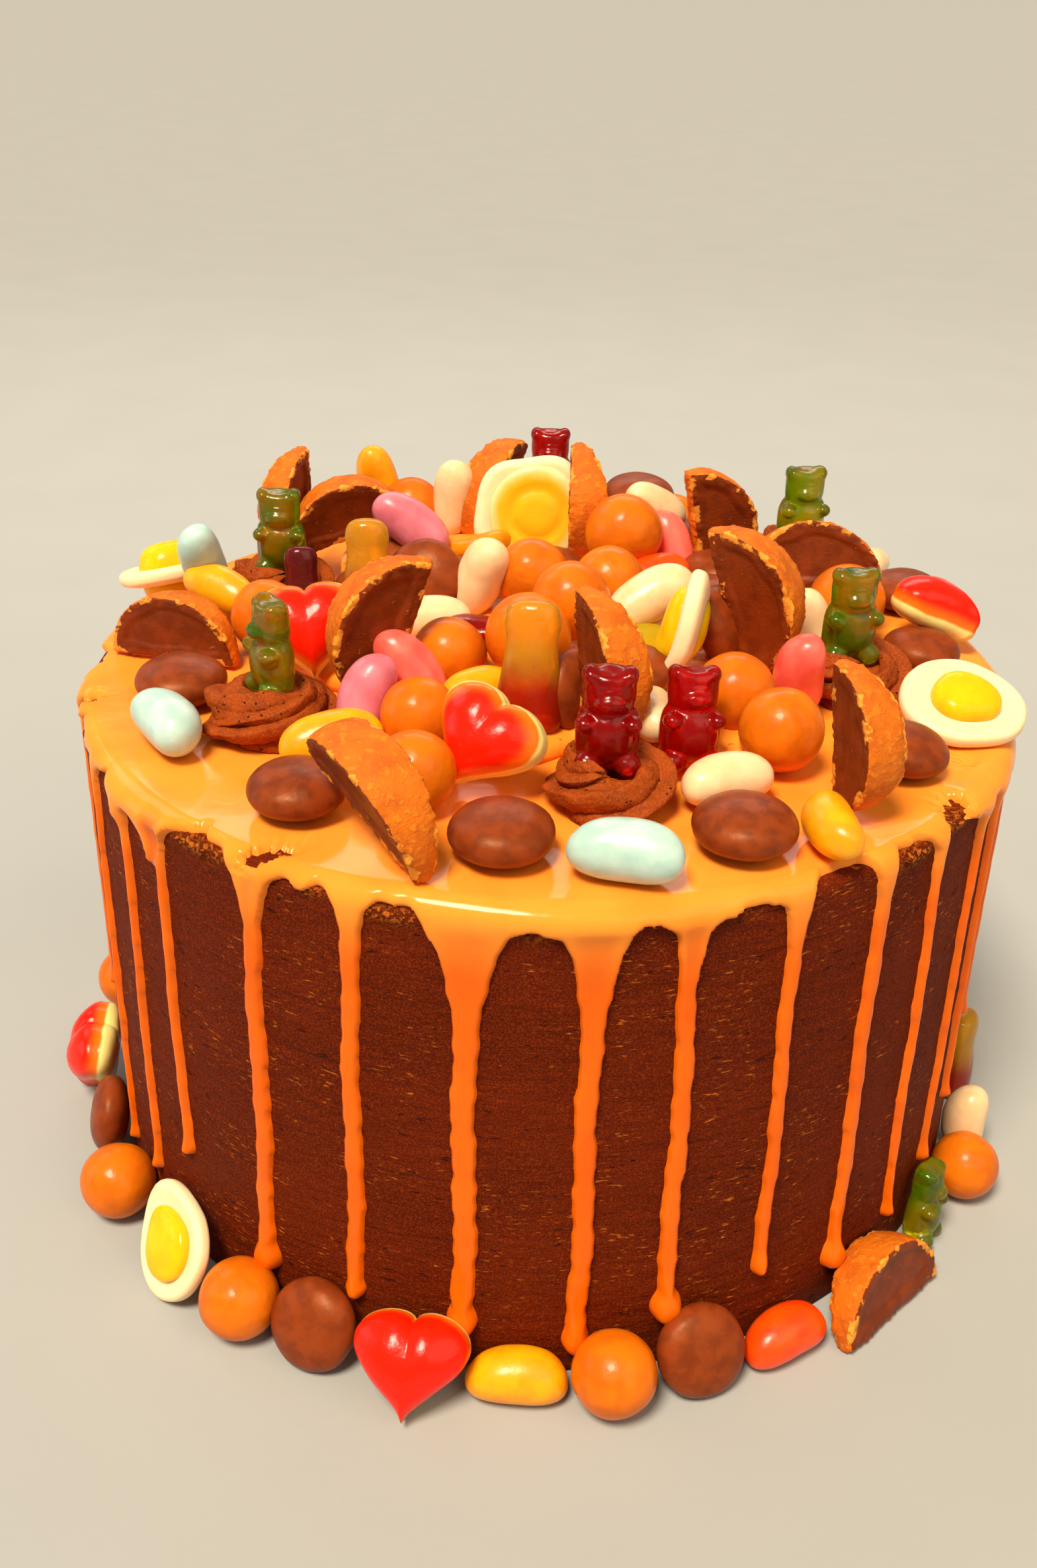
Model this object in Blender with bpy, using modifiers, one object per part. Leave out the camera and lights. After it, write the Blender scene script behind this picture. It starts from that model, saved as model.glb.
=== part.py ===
"""A chocolate drip cake dressed with sweets.

A round cake in chocolate frosting, a caramel top that runs down the side in drips, six piped
swirls that each hold a gummy bear, a heap of sweets in the middle, single sweets round the
heap, and a border of sweets that leans against the foot of the cake.

Metres, +Z up. The origin is the middle of the cake's underside. The front is -Y, and a bearing
is an angle in degrees from the front, growing towards +X.
"""

import math

import bmesh
import bpy
from mathutils import Euler, Matrix, Vector

MM = 0.001

# The cake
FOOT_RADIUS = 0.105
RIM_RADIUS = 0.104
FROSTING_HEIGHT = 0.112
EDGE_BEVEL = 0.0012
CARAMEL_TOP = 0.114
CARAMEL_ROUNDING, CARAMEL_SLOPE, CARAMEL_CORNER = 0.0035, 0.0010, 0.0028
CARAMEL_OVERHANG = 0.0012
HEM_DEPTH = 0.0052
HEM_SHALLOW = 0.44
HEM_SLOPE = 2.4
DRIP_START = 0.0014
DRIP_DEPTH = 0.0019
DRIP_BURIED = 0.0015
ROUND_SEGMENTS = 48
CAP_TURN = 0.37
GAP = 0.0003
MERGE = 0.00001

# The sweets
BALL_RADIUS = 0.0083
BEAN_LENGTH, BEAN_WIDTH, BEAN_BEND = 0.021, 0.0113, 0.0016
LENTIL_RADIUS, LENTIL_THICKNESS = 0.0098, 0.0097
EGG_RADIUS, EGG_HEIGHT = 0.0128, 0.0082
HEART_WIDTH, HEART_THICKNESS = 0.024, 0.0125
SEGMENT_LENGTH, SEGMENT_DEPTH, SEGMENT_PEEL, SEGMENT_EDGE = 0.034, 0.0165, 0.0112, 0.004
PEEL_BULGE = 0.0008
BEAR_HEIGHT, BEAR_WIDTH, BEAR_DEPTH = 0.022, 0.0135, 0.0094
BOTTLE_HEIGHT, BOTTLE_WIDTH, BOTTLE_DEPTH = 0.027, 0.0142, 0.0088
SWIRL_RADIUS, SWIRL_RIM, SWIRL_RIDGES, SWIRL_TWIST = 0.0142, 0.0045, 7, 0.40
SEAT_RADIUS = 0.0086

# The core that the heap lies on: (bearing, how far it reaches in mm)
CORE_OUTLINE = [(8, 46), (24, 56), (42, 70), (56, 62), (65, 60), (80, 47), (100, 66), (118, 66), (133, 62),
                (155, 76), (180, 56), (206, 78), (226, 72), (246, 50), (268, 66), (288, 54), (306, 46), (322, 64),
                (341, 71), (351, 66)]
CORE_HEIGHT = 0.007
CORE_RISE = 0.09

# Sweets: (name, kind, x, y, height of the middle over the caramel, turns about X, Y and Z, size).
# Places are in mm. At height 0 the sweet lies on the caramel.
SINGLES = [
    ("bean_blue_front", "bean", 15, -95, 0, (0, 0, -9), 1.0),
    ("lentil_front", "lentil", -7, -88, 0, (0, 0, 0), 1.0),
    ("lentil_front_right", "lentil", 37, -83, 0, (0, 0, 0), 1.0),
    ("lentil_front_left", "lentil", -46, -74, 0, (0, 0, 0), 0.97),
    ("lentil_right", "lentil", 72, -50, 0, (0, 8, 0), 0.95),
    ("bean_yellow", "bean", 53, -82, 0, (0, 0, 100), 0.85),
    ("bean_white", "bean", 35, -66, 0, (0, 0, 24), 0.9),
    ("bean_blue_left", "bean", -76, -50, 0, (0, 0, -54), 1.0),
    ("egg_right", "egg", 88, -30, 0, (20, 4, 0), 1.0),
    ("heart_right", "heart", 92, 14, 12, (14, 20, 60), 0.95),
    ("lentil_far_right", "lentil", 86, 1, 0, (0, 4, 0), 0.9),
    ("lentil_back_right", "lentil", 89, 38, 0, (0, 0, 0), 0.95),
    ("lentil_left", "lentil", -78, -28, 0, (0, 0, 0), 1.0),
    ("segment_left", "segment", -84, -6, 0, (-10, 0, -14), 0.88),
    ("egg_left", "egg", -92, 26, 0, (-16, -6, 20), 0.96),
    ("segment_front", "segment", -29, -90, 0, (0, 25, -45), 1.0),
    ("bean_right_back", "bean", 84, 55, 0, (0, 10, 70), 0.75),
    ("segment_right", "segment", 59, -70, 0, (0, 80, -60), 0.85),
]

# Swirls: (name, x, y, height of the seat, turn, size); each bear stands in its swirl's seat
SWIRLS = [
    ("front", 12.3, -67.3, 6.7, 20, 0.93),
    ("left", -56, -40, 6.7, 0, 1.02),
    ("right", 67, -12, 6.7, 40, 1.0),
    ("right_back", 65, 56, 8.5, 10, 1.0),
    ("left_back", -66, 30, 7.0, 60, 1.0),
    ("back", 0, 77, 10.4, 0, 1.0),
]
# Bears: (name, x, y, turn)
BEARS = [
    ("front", 12.0, -67.4, 0),
    ("left", -56.6, -39.2, -60),
    ("right", 66.6, -12.6, 10),
    ("right_back", 64.8, 55, 10),
    ("left_back", -65.7, 30, 0),
    ("back", -0.6, 77.5, 0),
]

HEAP = [
    ("ball", 47, -52, 9.3, (0, 0, 0), 1.02),
    ("ball", 39, -37, 10, (0, 0, 0), 1.02),
    ("ball", -24, -72, 8.3, (0, 0, 0), 0.95),
    ("ball", -25, -50, 9, (0, 0, 0), 0.95),
    ("ball", -21, -22, 10, (0, 0, 0), 1.0),
    ("ball", -4, -22, 15, (0, 0, 0), 1.12),
    ("ball", 5, -11, 19, (0, 0, 0), 1.05),
    ("ball", 14, 9, 16, (0, 0, 0), 1.0),
    ("ball", -4, 12, 16, (0, 0, 0), 1.03),
    ("ball", 18, 34, 19, (0, 0, 0), 1.15),
    ("ball", 33, 72, 12, (0, 0, 0), 1.0),
    ("ball", -36, 58, 16, (0, 0, 0), 0.95),
    ("ball", 70, 13, 11, (0, 0, 0), 1.08),
    ("ball", -64, -1, 9, (0, 0, 0), 1.0),
    ("heart", -11.5, -65, 12, (55, 20, -34), 0.94),
    ("heart", -52, -16, 13, (55, -5, 10), 1.0),
    ("heart", -44, 70, 14, (40, 0, 0), 0.9),
    ("bottle", -3, -42, 17, (-12, 0, -5), 1.0),
    ("bottle", -42, 9, 17, (-8, 0, 0), 0.9),
    ("bottle", -58, 13, 11, (-15, 0, 10), 0.7),
    ("bottle", 17, -11, 10, (80, 10, -70), 0.8),
    ("bottle", -20, 35, 14, (70, 0, 60), 0.85),
    ("bottle", 57, 32, 12, (-20, 0, 0), 0.7),
    ("bottle", -12, -8, 10, (85, 0, 80), 0.8),
    ("segment", -36, -30, 19, (0, -72, 18), 1.0),
    ("segment", 12, -47, 18, (0, 82, -55), 0.95),
    ("segment", -52, 47, 18, (0, -15, 15), 0.9),
    ("segment", -66, 49, 18, (0, -90, 60), 0.85),
    ("segment", -15, 58, 20, (0, -60, 60), 0.95),
    ("segment", 8, 46, 20, (0, 88, -78), 0.95),
    ("segment", 42, 44, 18, (0, 80, 22), 0.95),
    ("segment", 46, -10, 20, (0, 72, -25), 1.0),
    ("segment", 64, 26, 16, (-25, 6, -5), 1.0),
    ("egg", -4, 45, 19, (72, 0, 0), 1.06),
    ("egg", 29, -18, 16, (0, -70, 20), 1.0),
    ("bean", 23, -1, 16, (0, -25, 20), 1.05),
    ("bean", -16, 9, 16, (0, -68, -20), 1.0),
    ("bean", -27, -3, 10, (0, 0, 15), 0.95),
    ("bean", -25, 55, 20, (0, -85, 0), 0.95),
    ("bean", 26, 47, 22, (0, 30, 20), 0.85),
    ("bean", -36, -46, 10, (0, -60, 60), 0.95),
    ("bean", -28, -35, 12, (0, 45, -30), 0.95),
    ("bean", -34, 33, 20, (0, 35, -10), 1.0),
    ("bean", -42, -56, 6, (0, -8, 15), 1.0),
    ("bean", -45, 62, 22, (0, 75, 20), 0.9),
    ("bean", -14, -37, 9, (0, 0, 30), 0.8),
    ("bean", 54, -28, 11, (0, 70, 80), 0.95),
    ("bean", 30, 39, 14, (0, 60, -60), 0.9),
    ("bean", 26, 26, 12, (0, 0, 30), 0.8),
    ("bean", 22, -44, 8, (0, 0, 90), 0.8),
    ("bean", 61, 6, 9, (0, 70, 0), 0.8),
    ("bean", -76, 7, 12, (0, 15, -25), 0.9),
    ("bean", -81, 13, 18, (0, 60, 80), 0.9),
    ("lentil", -29, 10, 15, (60, 0, -10), 0.95),
    ("lentil", -37, 34, 12, (20, 0, 0), 0.9),
    ("lentil", 39, -6, 12, (70, 0, 70), 0.95),
    ("lentil", 23, 68, 18, (10, 0, 0), 0.95),
    ("lentil", 6, -38, 10, (80, 0, 60), 0.9),
    ("bear", 29, -53, 12, (-10, 3, 10), 1.0),
    ("lentil", 18, -26, 9, (6, -5, 0), 0.95),
    ("lentil", 40, 14, 11, (-4, 8, 0), 0.95),
    ("lentil", 0, 26, 12, (7, 3, 0), 0.95),
    ("lentil", -22, 22, 11, (-5, 4, 0), 0.95),
    ("lentil", 42, 32, 11, (0, 0, 0), 0.95),
    ("lentil", 16, 56, 13, (0, 0, 0), 0.95),
    ("lentil", -42, 20, 9, (0, 0, 0), 0.95),
    ("lentil", 34, 54, 11, (0, 0, 0), 0.95),
]

# Border: (name, kind, bearing, turns about X, Y and Z when its back is to the cake, size)
BORDER = [
    ("heart_1", "heart", -79.5, (80, 0, -3), 1.0),
    ("lentil_1", "lentil", -68, (80, 0, -9), 0.95),
    ("ball_1", "ball", -56.4, (0, 0, 0), 1.02),
    ("egg_1", "egg", -43, (60, -14, 0), 1.0),
    ("ball_2", "ball", -32.1, (0, 0, 0), 1.02),
    ("lentil_2", "lentil", -23.1, (62, 0, -2), 0.98),
    ("heart_2", "heart", -11.3, (55, 0, 3), 0.98),
    ("bean_1", "bean", -0.8, (80, 0, 0), 1.0),
    ("ball_3", "ball", 9.1, (0, 0, 0), 1.04),
    ("lentil_3", "lentil", 18.7, (62, 0, 3), 0.98),
    ("bean_2", "bean", 29.1, (60, 0, 6), 0.95),
    ("segment_1", "segment", 42.3, (-24, 0, 3), 0.95),
    ("bear_1", "bear", 55.1, (0, 10, 5), 0.9),
    ("ball_4", "ball", 65.2, (0, 0, 0), 0.95),
    ("bean_3", "bean", 72.6, (0, -80, -3), 0.9),
    ("bottle_1", "bottle", 84.9, (0, 0, -25), 0.9),
    ("egg_2", "egg", 99, (62, 0, 4), 1.0),
    ("ball_5", "ball", 113, (0, 0, 0), 1.02),
    ("segment_2", "segment", 129, (-26, 0, -4), 0.92),
    ("lentil_4", "lentil", 146, (64, 0, 5), 0.98),
    ("heart_3", "heart", 160, (58, 0, -5), 0.96),
    ("bean_4", "bean", 175, (70, 0, 4), 1.0),
    ("ball_6", "ball", 188, (0, 0, 0), 1.0),
    ("egg_3", "egg", 203, (60, 0, -6), 0.98),
    ("segment_3", "segment", 221, (-22, 0, 5), 0.92),
    ("lentil_5", "lentil", 239, (66, 0, 0), 0.95),
    ("ball_7", "ball", 262, (0, 0, 0), 1.0),
]

# Drips: (bearing at the rim and at the end, height of the end, width of the stream,
# width of the funnel under the rim, how far the funnel reaches down, width of the end), in mm
DRIPS = [
    (-61.6, -62.7, 18, 1.8, 4.5, 8, 2.4),
    (-52.1, -53, 18.5, 2.2, 6, 9, 3.0),
    (-44.6, -44.4, 29, 2.6, 8, 13, 3.2),
    (-30.3, -30.8, 16.5, 4.2, 9.5, 13, 4.8),
    (-18.8, -19.4, 15, 3.9, 8, 12, 4.2),
    (-6.9, -7, 19, 5.0, 19, 27, 5.6),
    (5.7, 5.7, 19, 4.6, 15.5, 26, 4.8),
    (15.2, 15.7, 20, 4.0, 10, 12, 6.0),
    (26.5, 26.8, 18, 3.3, 7.5, 12, 3.6),
    (37.8, 38.1, 18, 3.5, 6.5, 12, 5.4),
    (47.3, 48, 21, 2.6, 4, 8, 3.2),
    (57.6, 57, 22, 2.4, 5, 8, 3.0),
    (63, 63.3, 28, 2.2, 7, 12, 3.0),
    (77, 77.5, 34, 2.2, 7, 12, 3.0),
    (93, 92.5, 20, 2.8, 8, 16, 3.6),
    (109, 109.5, 25, 2.2, 6, 12, 3.0),
    (124, 124.5, 36, 3.4, 11, 20, 4.2),
    (141, 140.5, 22, 2.4, 7, 14, 3.2),
    (156, 156, 30, 3.8, 13, 24, 4.6),
    (172, 172.5, 24, 2.2, 6, 12, 3.0),
    (190, 190, 21, 3.0, 9, 18, 3.8),
    (207, 206.5, 33, 2.6, 8, 14, 3.4),
    (224, 224.5, 25, 3.6, 12, 22, 4.4),
    (243, 242.5, 28, 2.4, 7, 14, 3.2),
    (262, 262, 22, 2.6, 8, 16, 3.4),
    (281, 281, 33, 2.2, 6, 12, 2.8),
]

# Colours: (red, green, blue), roughness
LOOKS = {
    "frosting": ((0.135, 0.018, 0.005), 0.75),
    "caramel": ((0.90, 0.26, 0.018), 0.28),
    "cream": ((0.27, 0.055, 0.014), 0.7),
    "sweets": ((0.55, 0.15, 0.03), 0.4),
    "ball": ((0.66, 0.15, 0.014), 0.3),
    "lentil": ((0.30, 0.07, 0.018), 0.32),
    "segment": ((0.48, 0.11, 0.016), 0.5),
    "heart": ((0.85, 0.03, 0.012), 0.3),
    "egg": ((0.85, 0.72, 0.47), 0.55),
    "bean_blue": ((0.36, 0.58, 0.52), 0.3),
    "bean_yellow": ((0.88, 0.58, 0.04), 0.3),
    "bean_white": ((0.85, 0.72, 0.55), 0.3),
    "bean_orange": ((0.88, 0.22, 0.015), 0.3),
    "bear_green": ((0.10, 0.22, 0.012), 0.15),
    "bear_red": ((0.30, 0.004, 0.008), 0.15),
    "bottle": ((0.20, 0.012, 0.010), 0.25),
}


def polar(radius, bearing, height):
    """A point at a bearing in degrees, counted from the front towards +X."""
    angle = math.radians(bearing)
    return Vector((radius * math.sin(angle), -radius * math.cos(angle), height))


def side_radius(height):
    """The frosting's radius at a height."""
    return FOOT_RADIUS + (RIM_RADIUS - FOOT_RADIUS) * height / FROSTING_HEIGHT


def turned(profile, steps):
    """A solid turned about Z, from (radius, height) points listed from the top down."""
    outline = bpy.data.meshes.new("profile")
    pairs = [(k, k + 1) for k in range(len(profile) - 1)]
    outline.from_pydata([(radius, 0, height) for radius, height in profile], pairs, [])
    turning = bpy.data.objects.new("profile", outline)
    bpy.context.scene.collection.objects.link(turning)
    screw = turning.modifiers.new("turned", "SCREW")
    screw.axis = "Z"
    screw.steps = steps
    screw.render_steps = steps
    screw.use_merge_vertices = True
    screw.merge_threshold = MERGE
    skin = bpy.data.meshes.new_from_object(turning.evaluated_get(bpy.context.evaluated_depsgraph_get()))
    bm = bmesh.new()
    bm.from_mesh(skin)
    bpy.data.objects.remove(turning)
    bpy.data.meshes.remove(outline)
    bpy.data.meshes.remove(skin)
    bmesh.ops.remove_doubles(bm, verts=bm.verts, dist=MERGE)
    bmesh.ops.recalc_face_normals(bm, faces=bm.faces)
    return bm


def lofted(sections):
    """A solid through sections with equal numbers of points, closed at both ends."""
    bm = bmesh.new()
    rings = [[bm.verts.new(point) for point in section] for section in sections]
    for lower, upper in zip(rings, rings[1:]):
        for k in range(len(lower)):
            after = (k + 1) % len(lower)
            bm.faces.new((lower[k], lower[after], upper[after], upper[k]))
    bm.faces.new(list(reversed(rings[0])))
    bm.faces.new(rings[-1])
    bmesh.ops.recalc_face_normals(bm, faces=bm.faces)
    return bm


def raised(outline, levels):
    """A solid whose outline is drawn in towards its middle at each (height, share) level."""
    middle = sum((Vector(point) for point in outline), Vector((0, 0))) / len(outline)
    sections = []
    for height, share in levels:
        drawn = [middle + (Vector(point) - middle) * share for point in outline]
        sections.append([(x, y, height) for x, y in drawn])
    return lofted(sections)


def ball():
    bm = bmesh.new()
    bmesh.ops.create_uvsphere(bm, u_segments=8, v_segments=5, radius=BALL_RADIUS)
    return bm


def bean():
    """Long side along X, round ends, slightly bent."""
    sections = []
    for along, thick in ((-1, 0.32), (-0.84, 0.75), (-0.36, 1), (0.36, 1), (0.84, 0.75), (1, 0.32)):
        x = along * BEAN_LENGTH / 2
        bend = BEAN_BEND * (0.4 - along * along)
        half = thick * BEAN_WIDTH / 2
        sections.append([(x, half * math.cos(k * math.pi / 3) + bend, half * math.sin(k * math.pi / 3))
                         for k in range(6)])
    return lofted(sections)


def lentil():
    bm = bmesh.new()
    bmesh.ops.create_uvsphere(bm, u_segments=10, v_segments=4, radius=1)
    for v in bm.verts:
        v.co = Vector((v.co.x * LENTIL_RADIUS, v.co.y * LENTIL_RADIUS, v.co.z * LENTIL_THICKNESS / 2))
    return bm


def egg():
    """A disc of foam with an uneven rim, and the yolk as a dome on top."""
    r, h = EGG_RADIUS, EGG_HEIGHT
    profile = [(0, h), (0.5 * r, 0.84 * h), (0.74 * r, 0.5 * h), (r, 0.4 * h), (0.9 * r, 0.05 * h), (0, 0)]
    bm = turned(profile, 10)
    for v in bm.verts:
        angle = math.atan2(v.co.y, v.co.x)
        out = min(v.co.xy.length / r, 1)
        uneven = 1 + (0.06 * math.cos(2 * angle) + 0.03 * math.cos(3 * angle + 1)) * out ** 2
        v.co.x *= uneven
        v.co.y *= uneven
        v.co.z -= h / 2
    return bm


def heart():
    """Lobes towards +Y, point towards -Y, foam below and jelly above."""
    half = [(0, -0.50), (0.18, -0.38), (0.38, -0.14), (0.50, 0.12), (0.42, 0.37), (0.18, 0.43)]
    outline = half + [(0, 0.34)] + [(-x, y) for x, y in reversed(half[1:])]
    t = HEART_THICKNESS
    return raised([(x * HEART_WIDTH, y * HEART_WIDTH) for x, y in outline],
                  [(-0.5 * t, 0.92), (0, 1.0), (0.5 * t, 0.74)])


def segment():
    """A wedge with half-round faces: thin along its straight edge, wide along the peel."""
    steps = 8
    outer, crest, inner = [], [], []
    for k in range(steps + 1):
        angle = math.pi * k / steps
        x = SEGMENT_LENGTH / 2 * math.cos(angle)
        z = SEGMENT_DEPTH * math.sin(angle)
        half = (SEGMENT_EDGE + (SEGMENT_PEEL - SEGMENT_EDGE) * math.sin(angle)) / 2
        low = 0.45 * SEGMENT_DEPTH
        outer.append((x * 0.96, half, z * 0.96 - low))
        crest.append((x, 0, z + PEEL_BULGE * math.sin(angle) - low))
        inner.append((x * 0.96, -half, z * 0.96 - low))
    return lofted([inner, crest, outer])


def bear():
    """A plain bear that stands on Z and looks towards -Y."""
    half = [(0.40, 0.0), (0.47, 0.16), (0.50, 0.44), (0.39, 0.60), (0.45, 0.78), (0.44, 0.95), (0.28, 1.0),
            (0.14, 0.94)]
    outline = half + [(-x, z) for x, z in reversed(half)]
    bm = raised([(x * BEAR_WIDTH, (z - 0.5) * BEAR_HEIGHT) for x, z in outline],
                [(-0.5 * BEAR_DEPTH, 0.80), (-0.22 * BEAR_DEPTH, 1.0), (0.3 * BEAR_DEPTH, 1.0),
                 (0.5 * BEAR_DEPTH, 0.92)])
    bm.transform(Matrix.Rotation(math.pi / 2, 4, "X"))
    return bm


def bottle():
    """A small flattened bottle that stands on Z."""
    h, w = BOTTLE_HEIGHT, BOTTLE_WIDTH / 2
    bm = turned([(0, h), (0.66 * w, 0.94 * h), (0.76 * w, 0.78 * h), (0.74 * w, 0.55 * h), (w, 0.28 * h),
                 (0.80 * w, 0.01 * h), (0, 0)], 7)
    for v in bm.verts:
        v.co.y *= BOTTLE_DEPTH / BOTTLE_WIDTH
        v.co.z -= h / 2
    return bm


def swirl(seat):
    """A rosette of twisted ridges round a seat at the given height."""
    rim = seat + SWIRL_RIM
    levels = [(0.94, 0, 0.84), (1.0, 0.4 * rim, 0.78), (0.86, rim, 0.82), (0.65, 0.97 * rim, 1),
              (SEAT_RADIUS / SWIRL_RADIUS, seat, 1)]
    count = 2 * SWIRL_RIDGES
    sections = []
    for level, (share, height, valley) in enumerate(levels):
        section = []
        for k in range(count):
            angle = 2 * math.pi * k / count + SWIRL_TWIST * level
            radius = SWIRL_RADIUS * share * (1 if k % 2 == 0 else valley)
            section.append((radius * math.cos(angle), radius * math.sin(angle), height))
        sections.append(section)
    return lofted(sections)


KINDS = {"ball": ball, "bean": bean, "lentil": lentil, "egg": egg, "heart": heart, "segment": segment,
         "bear": bear, "bottle": bottle}


def turn_of(degrees):
    return Euler([math.radians(angle) for angle in degrees]).to_matrix().to_4x4()


def sized(kind, size):
    """A sweet of a kind, in its own frame."""
    bm = KINDS[kind]()
    bm.transform(Matrix.Scale(size, 4))
    return bm


def surface_points(bm):
    """The corners, the middles of the faces and points along the edges."""
    points = [v.co.copy() for v in bm.verts] + [face.calc_center_median() for face in bm.faces]
    for edge in bm.edges:
        a, b = (v.co for v in edge.verts)
        points += [a.lerp(b, share) for share in (0.2, 0.4, 0.6, 0.8)]
    return points


def laid(kind, x, y, height, degrees, size):
    """A sweet at (x, y) with its middle at a height over the caramel, and never lower than on it.

    It comes with the matrix of its place.
    """
    bm = sized(kind, size)
    turn = turn_of(degrees)
    resting = GAP - min((turn @ v.co).z for v in bm.verts)
    return bm, Matrix.Translation((x * MM, y * MM, CARAMEL_TOP + max(height * MM, resting))) @ turn


def leaned(kind, bearing, degrees, size):
    """A sweet that stands on the ground with its back against the foot of the cake, and its place."""
    bm = sized(kind, size)
    turn = turn_of(degrees)
    points = [turn @ point for point in surface_points(bm)]
    up = -min(p.z for p in points)
    away = FOOT_RADIUS
    while any(math.hypot(p.x, p.y - away) < side_radius(p.z + up) + GAP for p in points):
        away += GAP / 3
    return bm, Matrix.Rotation(math.radians(bearing), 4, "Z") @ Matrix.Translation((0, -away, up)) @ turn


def drip(rim_bearing, end_bearing, end, width, funnel, reach, bulb):
    """A stream of caramel down the side: a funnel under the rim, a thin stream and a thick end."""
    top = (CARAMEL_TOP - DRIP_START) / MM
    stream = top - reach
    levels = [(top, funnel, 0.3), (top - 0.2 * reach, 0.7 * funnel + 0.3 * width, 0.7),
              (top - 0.55 * reach, 0.22 * funnel + 0.78 * width, 0.9), (stream, width, 1),
              (end + 1.6 * bulb, width, 1), (end + 0.6 * bulb, bulb, 1.15), (end, 0.45 * bulb, 0.5)]
    sections = []
    for z, wide, deep in levels:
        share = (top - z) / (top - end)
        bearing = rim_bearing + (end_bearing - rim_bearing) * share
        radius = side_radius(z * MM)
        section = []
        for across, out in ((-0.5, -DRIP_BURIED), (-0.27, DRIP_DEPTH * deep), (0.27, DRIP_DEPTH * deep),
                            (0.5, -DRIP_BURIED)):
            turn = math.degrees(across * wide * MM / radius)
            section.append(polar(radius + out, bearing + turn, z * MM))
        sections.append(section)
    return lofted(sections)


def frosting_solid(grow):
    """The frosted cake, or the room it takes when grown by a gap."""
    r, h, e = RIM_RADIUS, FROSTING_HEIGHT, EDGE_BEVEL
    return turned([(0, h + grow), (r - e + 0.4 * grow, h + grow), (r + grow, h - e + 0.4 * grow),
                   (FOOT_RADIUS + grow, -grow), (0, -grow)], ROUND_SEGMENTS)


def hem_share(bearing):
    """How far down the hem hangs at a bearing: 1 at a drip's funnel, less between the drips."""
    share = HEM_SHALLOW
    for rim_bearing, _, _, _, funnel, _, _ in DRIPS:
        apart = abs((bearing - rim_bearing + 180) % 360 - 180)
        half = math.degrees(funnel * MM / 2 / RIM_RADIUS)
        share = max(share, 1 - (1 - HEM_SHALLOW) * max(0, apart - half) / HEM_SLOPE)
    return share


def caramel_cap():
    """The caramel's disc with a rounded rim and an uneven hem, solid down to the hem.

    It is turned by part of a facet, so that its corners stay clear of the frosting's.
    """
    r = RIM_RADIUS
    hem = CARAMEL_TOP - HEM_DEPTH
    bm = turned([(0, CARAMEL_TOP), (r - CARAMEL_ROUNDING, CARAMEL_TOP), (r, CARAMEL_TOP - CARAMEL_SLOPE),
                 (r + CARAMEL_OVERHANG, CARAMEL_TOP - CARAMEL_CORNER), (r + CARAMEL_OVERHANG, hem),
                 (0, hem)], ROUND_SEGMENTS)
    bm.transform(Matrix.Rotation(CAP_TURN * 2 * math.pi / ROUND_SEGMENTS, 4, "Z"))
    for v in bm.verts:
        if v.co.xy.length > r - CARAMEL_ROUNDING / 2:
            angle = math.atan2(v.co.x, -v.co.y)
            share = hem_share(math.degrees(angle))
            radius = v.co.xy.length
            bulge = 1 + 0.003 * math.sin(7 * angle + 0.6) + 0.0015 * math.sin(13 * angle)
            drawn_in = bulge * (r + (radius - r) * share) / radius
            v.co = Vector((v.co.x * drawn_in, v.co.y * drawn_in, CARAMEL_TOP - (CARAMEL_TOP - v.co.z) * share))
    return bm


def heap_core():
    """A low mound under the heap."""
    outline = []
    for bearing, reach in CORE_OUTLINE:
        point = polar(reach * MM, bearing, 0)
        outline.append((point.x, point.y))
    bottom = CARAMEL_TOP + GAP
    bm = raised(outline, [(bottom, 1), (bottom + 0.35 * CORE_HEIGHT, 0.97), (bottom + CORE_HEIGHT, 0.8)])
    for v in bm.verts:
        if v.co.z > bottom and v.co.y > 0:
            v.co.z += CORE_RISE * v.co.y
    return bm


def collection(name):
    made = bpy.data.collections.new(name)
    bpy.context.scene.collection.children.link(made)
    return made


def add(name, bm, look, group, place=None, smooth=50):
    """The bmesh as an object with its own material, set at its place."""
    mesh = bpy.data.meshes.new(name)
    bm.to_mesh(mesh)
    bm.free()
    material = bpy.data.materials.new(name)
    material.use_nodes = True
    shader = material.node_tree.nodes["Principled BSDF"]
    colour, roughness = LOOKS[look]
    shader.inputs["Base Color"].default_value = (*colour, 1)
    shader.inputs["Roughness"].default_value = roughness
    shader.inputs["Metallic"].default_value = 0
    mesh.materials.append(material)
    mesh.shade_smooth()
    mesh.set_sharp_from_angle(angle=math.radians(smooth))
    made = bpy.data.objects.new(name, mesh)
    if place:
        made.location = place.to_translation()
        made.rotation_euler = place.to_euler()
    group.objects.link(made)
    return made


def applied(target, operation, tools):
    """The Boolean of an object and a collection, applied; the collection's objects are removed."""
    modifier = target.modifiers.new(operation.lower(), "BOOLEAN")
    modifier.operation = operation
    modifier.operand_type = "COLLECTION"
    modifier.collection = tools
    modifier.solver = "EXACT"
    modifier.use_self = operation == "DIFFERENCE"
    evaluated = target.evaluated_get(bpy.context.evaluated_depsgraph_get())
    mesh = bpy.data.meshes.new_from_object(evaluated)
    target.modifiers.clear()
    target.data = mesh
    for tool in list(tools.objects):
        bpy.data.objects.remove(tool)
    bpy.data.collections.remove(tools)


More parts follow.
